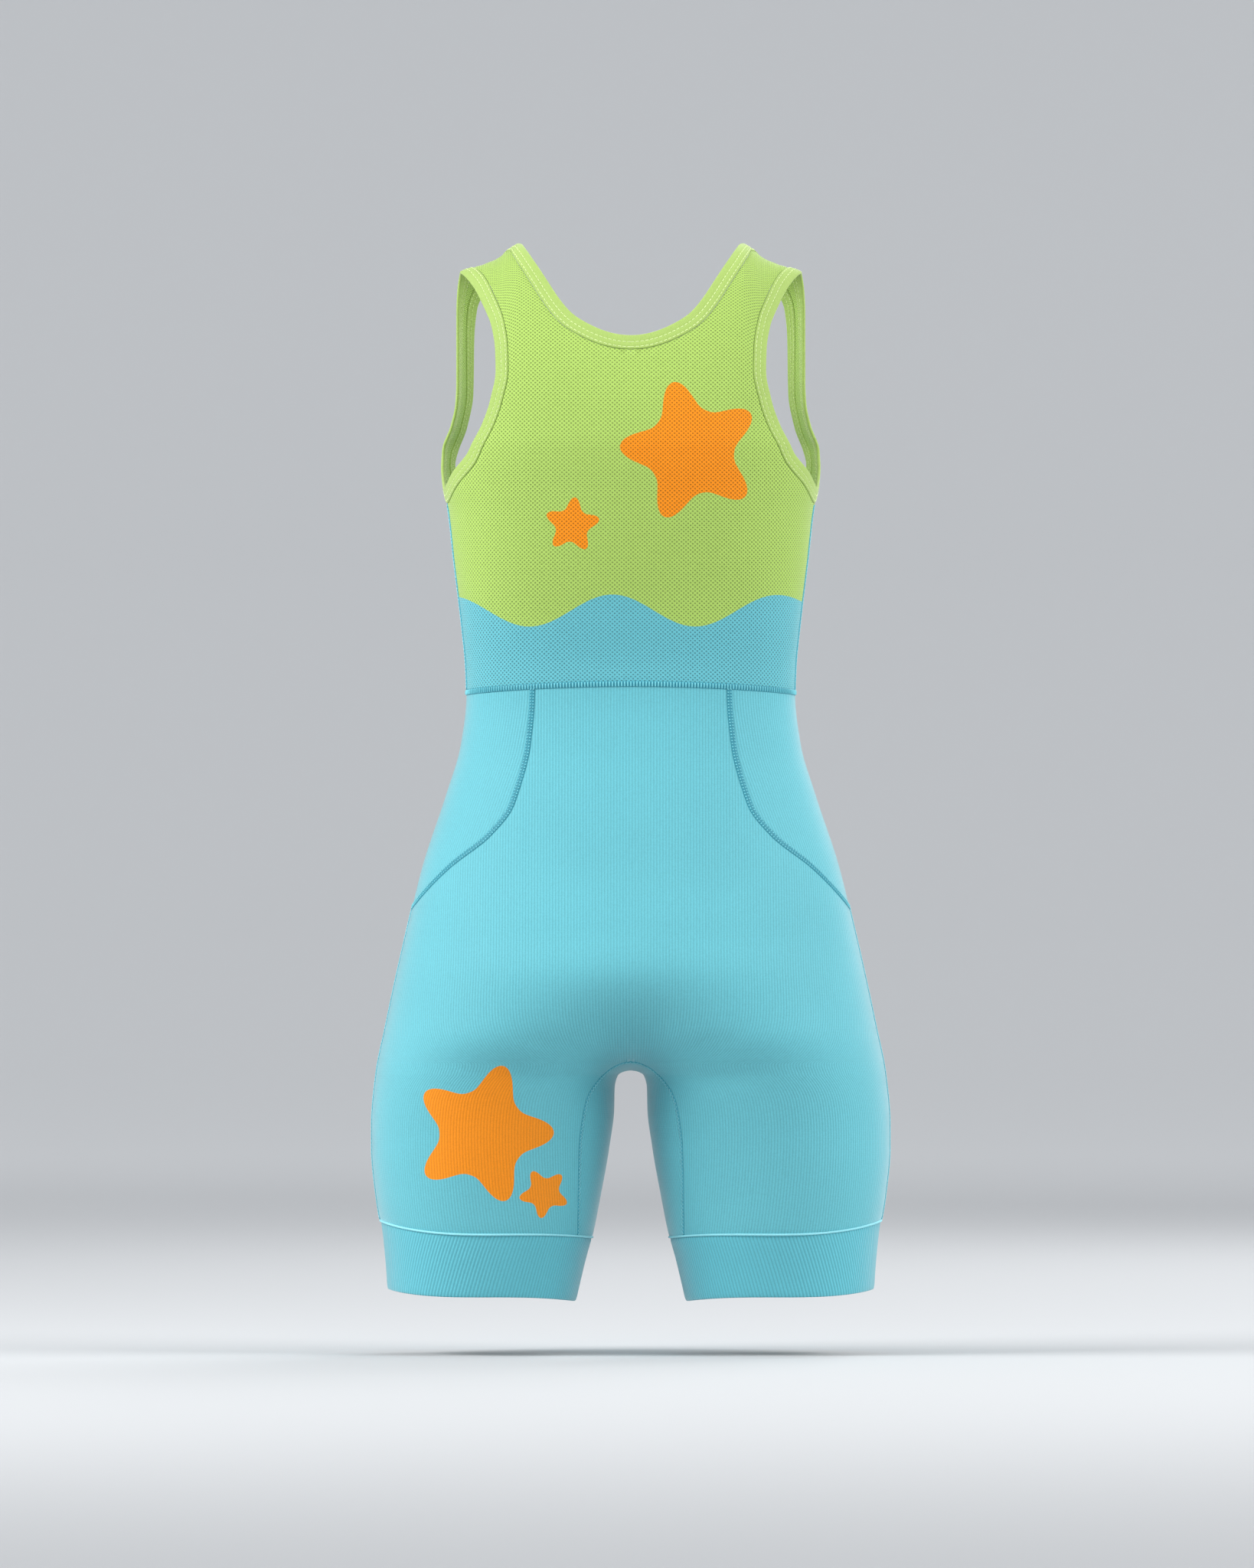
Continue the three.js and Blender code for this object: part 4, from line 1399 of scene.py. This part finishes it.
sew("back_bodice_mesh", "back_bodice", back_bodice(), back_mesh)
sew("front_bodice_mesh", "front_bodice", front_bodice(), front_mesh)
sew("neck_binding_band", "neck_binding", both([binding_patch(neck)]), band, 0)
sew("back_lower_knit", "back_lower", lower_panel(False), starred_knit)
sew("front_lower_knit", "front_lower", lower_panel(True), knit)
sew("gusset_knit", "gusset", both([gusset_patch()]), knit)
right = [binding_patch(armhole), side_panel(), cuff_patch()]
for side, patches in (("right", right), ("left", [patch.mirrored() for patch in right])):
    arm, hip, leg = patches
    sew(f"armhole_binding_{side}_band", f"armhole_binding_{side}", [arm], band, 0)
    sew(f"side_panel_{side}_knit", f"side_panel_{side}", [hip], knit)
    sew(f"leg_cuff_{side}_rib", f"leg_cuff_{side}", [leg], rib)

# How wide and high the seam covers are, and how high their threads lie
WIDE_COVER = 5.0
SLIM_COVER = 3.2
GUSSET_COVER = 3.0
COVER_HEIGHT = 0.4
THREAD_LIFT = PANEL_WALL / 2 + COVER_HEIGHT + 0.12
RIDGE_WIDTH = 1.8
RIDGE_HEIGHT = 0.7
RIDGE_RIPPLE = 0.05

# Kinds of stitches: their pitch, shifts and reach as shares of the cover's width, and the thread's radius
STITCHES = {
    "loops": (3.0, (0,), 0.4, 0.3),
    "bars": (2.4, (0,), 0.38, 0.5),
    "rows": (2.4, (0.22, -0.22), 0.13, 0.45),
}


def stitched(name, line, width, kind, cloth, yarn, slot):
    """A seam's cover and the stitches on it."""
    cover(f"{name}_cover", line, width, COVER_HEIGHT, cloth)
    pitch, shifts, reach, radius = STITCHES[kind]
    if kind == "loops":
        vertices, faces = zigzag(line, pitch, reach * width, THREAD_LIFT, radius)
    else:
        shifts = [shift * width for shift in shifts]
        vertices, faces = bars(line, shifts, pitch, reach * width, THREAD_LIFT, radius)
    trim_piece(f"{name}_stitches", vertices, faces, yarn)


dark_seam = (dark_cover, seam_thread, "compression_knit")
aqua_seam = (aqua_cover, aqua_thread, "compression_knit")
stitched("waist_seam", waist_line(), WIDE_COVER, "bars", *dark_seam)
for side in ("right", "left"):
    lines = [hip_line(), outseam_line(), side_line(), shoulder_line(), cuff_line()]
    if side == "left":
        lines = [line.mirrored() for line in lines]
    hip, outseam, flank, shoulder, hem = lines
    stitched(f"hip_seam_{side}", hip, WIDE_COVER, "rows", *dark_seam)
    stitched(f"outseam_{side}", outseam, SLIM_COVER, "loops", *aqua_seam)
    stitched(f"side_seam_{side}", flank, SLIM_COVER, "loops", aqua_cover, aqua_thread, "mesh_aqua")
    stitched(f"shoulder_seam_{side}", shoulder, SLIM_COVER, "loops", lime_cover, lime_thread, "mesh_lime")
    # The ridge's pale colour is partly its thread and partly a painted highlight.
    cover(f"cuff_seam_{side}_ridge", hem, RIDGE_WIDTH, RIDGE_HEIGHT, ridge_painted_highlight, RIDGE_RIPPLE)
for side, front in (("back", False), ("front", True)):
    stitched(f"gusset_seam_{side}", gusset_line(front), GUSSET_COVER, "loops", *aqua_seam)

# The bindings' stitches: pitch and length, then height and radius outside and inside
DASH_PITCH = 3.8
DASH_LENGTH = 2.7
OUTSIDE_DASHES = (BINDING_WALL / 2 - GROOVE + 0.14, 0.34)
INSIDE_DASHES = (-BINDING_WALL / 2 - 0.02, 0.3)


def band_stitches(name, lines):
    for face, (lift, radius) in (("outside", OUTSIDE_DASHES), ("inside", INSIDE_DASHES)):
        vertices, faces = dashes(lines, DASH_PITCH, DASH_LENGTH, lift, radius)
        trim_piece(f"{name}_{face}", vertices, faces, lime_thread)


neck_rows = [rail_line(neck, distance) for distance in STITCH_LINES]
band_stitches("neck_stitches", both(neck_rows))
armhole_rows = [rail_line(armhole, distance) for distance in STITCH_LINES]
band_stitches("armhole_stitches_right", armhole_rows)
band_stitches("armhole_stitches_left", [line.mirrored() for line in armhole_rows])


# The studio: a wide pale floor that curves up all round, with soft lights inside it
FLOOR = -0.875
BOWL = [(0, 0), (15, 0), (16.5, 0.2), (18, 0.8), (19.1, 1.9), (19.8, 3.4), (20, 5), (20, 14)]


BOWL_SIDES = 96

# The paper's colour near the garment and far off, the distances between them, and its glow far off
PAPER_NEAR = (0.5, 0.51, 0.52)
PAPER_FAR = (0.6, 0.61, 0.62)
PAPER_SPAN = (1.2, 9)
PAPER_GLOW = 0.3


def studio_paper():
    paper = Shader("studio_paper", PAPER_NEAR, 0.9, 0)
    paper.surface.inputs["Specular IOR Level"].default_value = 0.5
    place = paper.node("NewGeometry", {}).outputs["Position"]
    away = paper.node("VectorMath", {0: place}, "LENGTH")
    far = paper.step(away.outputs["Value"], *PAPER_SPAN)
    colour = paper.blend(far, PAPER_NEAR, PAPER_FAR)
    glow = paper.times(far, PAPER_GLOW)
    for name, socket in (("Base Color", colour), ("Emission Color", colour), ("Emission Strength", glow)):
        paper.links.new(socket, paper.surface.inputs[name])
    return paper.material


def studio_bowl():
    turns = [2 * math.pi * i / BOWL_SIDES for i in range(BOWL_SIDES)]
    vertices = [(0, 0, FLOOR)]
    for radius, height in BOWL[1:]:
        vertices.extend((radius * math.cos(turn), radius * math.sin(turn), FLOOR + height) for turn in turns)
    faces = [(0, 1 + i, 1 + (i + 1) % BOWL_SIDES) for i in range(BOWL_SIDES)]
    for start in range(1, 1 + (len(BOWL) - 2) * BOWL_SIDES, BOWL_SIDES):
        for here in range(BOWL_SIDES):
            after = (here + 1) % BOWL_SIDES
            beyond = start + BOWL_SIDES
            faces.append((start + here, beyond + here, beyond + after, start + after))
    mesh = bpy.data.meshes.new("studio")
    mesh.from_pydata(vertices, [], faces)
    mesh.polygons.foreach_set("use_smooth", [True] * len(mesh.polygons))
    mesh.materials.append(studio_paper())
    obj = bpy.data.objects.new("studio", mesh)
    bpy.context.scene.collection.objects.link(obj)


studio_bowl()

world = bpy.data.worlds.new("studio")
bpy.context.scene.world = world
world.use_nodes = True
background = world.node_tree.nodes["Background"]
background.inputs["Color"].default_value = (0.92, 0.95, 1, 1)
background.inputs["Strength"].default_value = 0.58


def soft_light(name, place, target, size, power):
    light = bpy.data.lights.new(name, "AREA")
    light.energy = power
    light.size = size
    obj = bpy.data.objects.new(name, light)
    bpy.context.scene.collection.objects.link(obj)
    obj.location = place
    obj.rotation_euler = (Vector(target) - Vector(place)).to_track_quat("-Z", "Y").to_euler()


soft_light("key", (-3.0, -1.25, 1.7), (0, 0, -0.5), 2.6, 168)
soft_light("side", (3.0, -1.1, 1.3), (0, 0, -0.5), 2.6, 105)
soft_light("back", (1.6, 3.0, 1.9), (0, 0, -0.4), 2.4, 75)

camera = bpy.data.cameras.new("camera")
camera.lens = 466
view = bpy.data.objects.new("camera", camera)
bpy.context.scene.collection.objects.link(view)
view.location = (-0.003, -16.0, -0.426)
view.rotation_euler = (math.pi / 2, 0, 0)
bpy.context.scene.camera = view
bpy.context.scene.view_settings.view_transform = "Standard"
